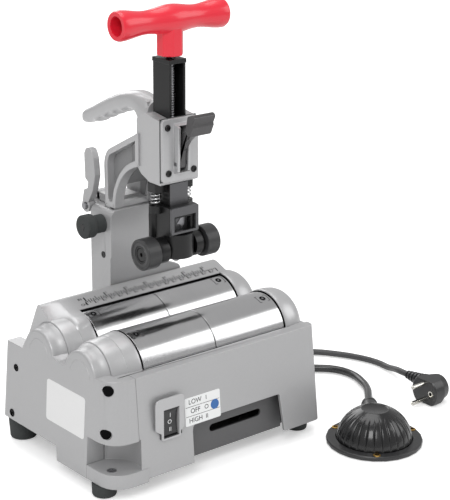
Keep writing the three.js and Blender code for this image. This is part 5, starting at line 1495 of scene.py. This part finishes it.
@dataclass
class FeedHead:
    """The T-handle, the thread, the springs, the wheels and the screws of the head."""

    tee_y: float = 3.5
    tee_z: float = 439.9
    half: float = 65.0
    grip_r: float = 13.25
    swell: float = 1.75
    wave: float = 62.0
    socket: float = 9.5
    socket_floor: float = 39.0
    lip: float = 0.8
    end_flat: float = 2.5
    end_round: float = 1.2
    stations: int = 24
    stem: float = 12.5
    stem_low: float = 404.9
    screw_r: float = 5.0
    screw_low: float = 289.9
    screw_high: float = 404.6
    pitch: float = 2.5
    wheel_y: float = -5.4
    wheel_z: float = 209.3
    spring_x: float = 19.0
    spring_y: float = 3.0
    spring_r: float = 4.8
    wire: float = 0.9
    spring_low: float = 255.3
    spring_high: float = 268.2
    spring_turns: int = 3
    spring_keep: float = 0.53
    tyre: tuple = ((4.3, 29.6), (15.2, 29.6), (15.9, 29.9), (16.2, 30.6), (16.2, 44.4), (15.9, 45.2),
                   (15.2, 45.6), (13.7, 45.6), (13.4, 45.1), (12.9, 45.1), (12.5, 45.4), (9.4, 45.0),
                   (9.1, 44.3), (8.6, 44.3), (8.2, 44.8), (7.5, 44.6), (7.2, 40.9), (4.3, 40.9), (4.3, 29.6))
    boss: tuple = ((5, 16.8), (13.2, 16.8), (13.2, 25), (11.5, 28.4), (5, 28.9), (5, 16.8))
    blade: tuple = ((3.3, -1.5), (5, -1.5), (5.6, -1.1), (8.2, -0.55), (11.5, 0), (8.2, 0.55), (5.6, 1.1),
                    (5, 1.5), (3.3, 1.5), (3.3, -1.5))
    blade_at: tuple = (-2, 204.5)
    knob: tuple = ((0, -57.5), (11.3, -57.5), (12.5, -56.4), (12.5, -47.2), (11.8, -46), (9.7, -45.6),
                   (9.7, -33.3), (3.5, -33.3), (3.5, -26.2), (0, -26.2))
    knob_centre: tuple = ((0, -57.9), (3.2, -57.9), (3.6, -57.4), (0, -57.2))
    knob_at: tuple = (78, 220)
    cover_screws: tuple = ((-18.5, 337.5), (-17.5, 291), (14, 291))
    gasket: tuple = (
        ((-25.4, 281.5), (-15, 346.3)), ((13, 281.5), (19.4, 346.3)), ((-15, 281.5), (13, 284)),
        ((-15, 343.8), (13, 346.3)),
    )
    diamond: tuple = ((-3.5, 235), (2.5, 242.5), (7, 240.5), (6, 234), (2.5, 229), (0.5, 234))
    gasket_y: tuple = (-12.7, -11.8)
    fold: tuple = ((61.8, 186), (88, 144), (88, 106), (86.9, 104.6), (61.8, 156.2))

    def add_handle(self) -> None:
        """Makes the swelling red handle with its octagonal stem."""
        ends = self.half - self.end_flat
        surface = []
        for i in range(self.stations + 1):
            along = -ends + 2 * ends * i / self.stations
            surface.append((self.grip_r + self.swell * math.cos(TURN * along / self.wave), along))
        end = [(0, self.socket_floor), (self.socket, self.socket_floor), (self.socket, self.half - self.lip),
               (self.socket + self.lip, self.half), (surface[0][0] - self.end_round, self.half)]
        profile = [(r, -along) for r, along in end] + surface + end[::-1]
        grip = Form().turn(profile, Axis.X, (self.tee_y, self.tee_z), 64)
        reach = self.stem / math.cos(math.pi / 8)
        corners = [TURN * (i + 0.5) / 8 for i in range(8)]
        stem = Form().prism([(reach * math.cos(a), self.tee_y + reach * math.sin(a)) for a in corners],
                            Axis.Z, self.stem_low, self.tee_z - 6).bevel(0.9, 2, 30)
        grip.piece("tee_grip", "handle_unit", RED, "red_plastic", ["tee_handle"])
        stem.piece("tee_stem", "handle_unit", RED, "red_plastic")

    def add_thread(self) -> None:
        """Makes the feed screw with a real helical thread."""
        form = Form()
        form.turn([(self.screw_r, self.screw_low), (self.screw_r, self.screw_high)], Axis.Z, (0, self.tee_y),
                  20)
        rows = int((self.screw_high - self.screw_low) / self.pitch * 4)
        around = [e for e in form.mesh.edges if abs(e.verts[0].co.z - e.verts[1].co.z) > 1]
        bmesh.ops.subdivide_edges(form.mesh, edges=around, cuts=rows, use_grid_fill=True)
        for vert in form.mesh.verts:
            x, y = vert.co.x, vert.co.y - self.tee_y
            phase = (vert.co.z / self.pitch - math.atan2(y, x) / (TURN)) % 1.0
            radius = self.screw_r - 0.05 - 1.0 * abs(2 * phase - 1)
            vert.co.x, vert.co.y = (c * radius / math.hypot(x, y) for c in (x, y))
            vert.co.y += self.tee_y
        close_holes(form.mesh)
        form.piece("feed_thread", "handle_unit", MACHINED, "steel", ["feed_screw"])

    def add_wheels(self) -> None:
        """Makes the guide wheels, the cutting wheel and the bolts' sockets."""
        for side, name in ((-1, "left"), (1, "right")):
            hub = (self.wheel_y, self.wheel_z)
            Form().turn([(r, side * x) for r, x in self.tyre], Axis.X, hub, 72).piece(
                f"wheel_{name}_turned", f"{name}_guide_wheel", TYRE, "dark_rubber", [f"guide_wheel_{name}"])
            Form().turn([(r, side * x) for r, x in self.boss], Axis.X, hub, 48).piece(
                f"wheel_boss_{name}", "carriage_unit", BLACKENED, "blackened")
        Form().turn(self.blade, Axis.X, self.blade_at, 64).piece(
            "cutting_disc", "cutter", GROUND, "roller_steel", ["cutter_wheel"])

    def add_springs(self) -> None:
        """Makes the two carriage springs."""
        rise = self.spring_high - self.spring_low - 2 * self.wire
        steps = self.spring_turns * 24
        for side, name in ((-1, "left"), (1, "right")):
            form = Form()
            start = (side * self.spring_x + self.spring_r, self.spring_y, self.spring_low + self.wire)
            lying = Matrix.Translation(start) @ Matrix.Rotation(math.pi / 2, 4, "X")
            ring = bmesh.ops.create_circle(form.mesh, cap_ends=False, radius=self.wire, segments=12,
                                           matrix=lying)["verts"]
            edges = list({e for v in ring for e in v.link_edges})
            bmesh.ops.spin(form.mesh, geom=ring + edges, cent=(side * self.spring_x, self.spring_y, 0),
                           axis=(0, 0, 1), dvec=(0, 0, rise / steps), angle=TURN * self.spring_turns,
                           steps=steps, use_merge=False)
            close_holes(form.mesh)
            made = form.piece(f"carriage_spring_{name}", "column_unit", SPRING_WIRE, "roller_steel",
                              [f"spring_{name}"])
            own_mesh(made)

    def cap_screw(self, name: str, body: str, place: Point, axis: Axis, r: float, out: float) -> None:
        """Makes a domed screw head with a hexagonal socket.

        Args:
            name: the piece's name.
            body: the body that it rides on.
            place: the middle of its seat.
            axis: the way it looks.
            r: its radius.
            out: how far it stands out, negative for the other way.
        """
        others = [place[i] for i in range(3) if i != axis.value]
        start = place[axis.value]
        head = Form().turn([(0, start - out * 0.3), (r, start - out * 0.3), (r, start + out * 0.55),
                            (r * 0.8, start + out), (r * 0.5, start + out), (r * 0.5, start + out * 0.4),
                            (0, start + out * 0.4)], axis, others, 24)
        head.piece(name, body, BLACKENED, "blackened")

    def add_screws(self) -> None:
        """Makes the visible screws, the cover's gasket and the plunger knob."""
        for index, (x, z) in enumerate(self.cover_screws):
            self.cap_screw(f"cover_screw_{index}", "swing_arm", (x, -16, z), Axis.Y, 3.4, -1.6)
        seal = Form()
        for low, high in self.gasket:
            seal.block((low[0], self.gasket_y[0], low[1]), (high[0], self.gasket_y[1], high[1]))
        seal.piece("cover_gasket", "swing_arm", RUBBER, "dark_rubber")
        self.cap_screw("bracket_screw", "frame", (-33, 76, 186), Axis.X, 3.6, -0.5)
        Form().turn(self.knob, Axis.X, self.knob_at, 72).piece(
            "plunger_turned", "plunger", RUBBER, "dark_rubber", ["plunger_knob"])
        Form().turn(self.knob_centre, Axis.X, self.knob_at, 24).piece(
            "plunger_centre", "plunger", BLACKENED, "blackened")

    def add_plates(self) -> None:
        """Makes the window's mark, the ram's bright face and the bracket's fold."""
        Form().prism(self.diamond, Axis.Y, -10.95, -10.4).bevel(0.15, 2).piece(
            "window_mark", "carriage_unit", MACHINED, "steel")
        Form().block((-11.3, -10.3, 200), (11.3, -9.8, 277.5)).bevel(0.2, 1).piece(
            "ram_face", "column_unit", DARK_STEEL, "steel")
        Form().prism(self.fold, Axis.X, -34.5, -32.5).bevel(0.7, 3).piece(
            "bracket_fold", "frame", CASTING, "casting")

    def build(self) -> None:
        """Makes the whole head."""
        self.add_handle()
        self.add_thread()
        self.add_wheels()
        self.add_springs()
        self.add_screws()
        self.add_plates()


@dataclass
class FootPedal:
    """The flanged base with its eyelets and the ribbed dome."""

    x: float = 151.8
    y: float = -146.7
    dome: float = 39.8
    cap: float = 14.6
    high: float = 37.0
    low: float = 5.3
    ribs: int = 28
    hole_ring: float = 45.4
    hole_degrees: tuple = (-131, 110, -15.5)
    nipple_height: float = 12.0
    nipple_way: tuple = (0.638, 0.77)
    wall: float = 2.6
    groove: float = 1.1
    groove_power: int = 14

    def add_base(self) -> None:
        """Makes the flange, the hose nipple with its collar and the eyelets."""
        rounded_copy("pedal_base", "frame", BLACK, "black_plastic", 0.5)
        collar = Form().turn([(4.4, 50), (8.7, 50), (9, 52), (9, 60), (8.2, 60.8), (8.2, 62.6), (9, 63.4),
                              (8.8, 67), (7.4, 70), (4.4, 70.6), (4.4, 50)], Axis.X, (0, 0), 40)
        across, along = self.nipple_way
        turned = Matrix.Rotation(math.atan2(along, across), 4, "Z")
        collar.moved(Matrix.Translation((self.x, self.y, self.nipple_height)) @ turned)
        collar.piece("hose_collar", "frame", BLACK, "black_plastic")
        for index, degrees in enumerate(self.hole_degrees):
            angle = math.radians(degrees)
            centre = (self.x + self.hole_ring * math.cos(angle), self.y + self.hole_ring * math.sin(angle))
            Form().turn([(2.4, 0.2), (2.4, 5.9), (3.9, 5.6), (3.9, 4.6), (3.0, 0.2), (2.4, 0.2)], Axis.Z,
                        centre, 32).piece(f"pedal_eyelet_{index}", "frame", BRASS, "steel")

    def add_dome(self) -> None:
        """Makes the dome with ribs that fade at its cap."""
        knots = ((self.dome, self.low), (self.dome - 1, self.low + 15), (27.6, 32), (self.cap + 2, 35.8))
        side = []
        for i in range(17):
            t = i / 16
            weights = ((1 - t) ** 3, 3 * t * (1 - t) ** 2, 3 * t * t * (1 - t), t ** 3)
            side.append(tuple(sum(w * k[axis] for w, k in zip(weights, knots)) for axis in (0, 1)))
        inner = [(max(r - self.wall, 0), max(z - self.wall * 0.6, self.low)) for r, z in reversed(side)]
        profile = [*side, (self.cap + 0.6, self.high - 0.2), (self.cap - 0.4, self.high),
                   (self.cap - 2.2, self.high - 0.8), (0, self.high - 0.6), (0, self.high - 3.4), *inner,
                   (self.dome, self.low)]
        form = Form().turn(profile, Axis.Z, (self.x, self.y), self.ribs * 12)
        for vert in form.mesh.verts:
            x, y = vert.co.x - self.x, vert.co.y - self.y
            r = math.hypot(x, y)
            height = (vert.co.z - self.low) / (self.high - self.low)
            fade = max(0.0, min(1.0, (0.93 - height) * 6)) * max(0.0, min(1.0, (height - 0.02) * 8))
            if r < self.cap + 3 or fade <= 0:
                continue
            phase = (math.atan2(y, x) / (TURN) * self.ribs) % 1.0
            dip = self.groove * fade * (0.5 - 0.5 * math.cos(TURN * phase)) ** self.groove_power
            vert.co.x = self.x + x * (1 - dip / r)
            vert.co.y = self.y + y * (1 - dip / r)
        form.piece("pedal_dome_ribbed", "pedal_button", GLOSS_BLACK, "black_plastic", ["pedal_dome"])

    def build(self) -> None:
        """Makes the pedal."""
        self.add_base()
        self.add_dome()


def main() -> None:
    """Builds the studio, the cords and every sub-assembly in order."""
    logging.basicConfig(level=logging.INFO, format="%(message)s")
    Studio().build()
    plug, pins = MainsPlug().build()
    Cords().build(plug, pins)
    for part in (Castings(), TopShell(), EndNoses(), ArmCasting(), Rollers(), BaseTrim(), FeedHead(),
                 FootPedal()):
        part.build()
        LOG.info("%s done", type(part).__name__)


if __name__ == "__main__":
    main()
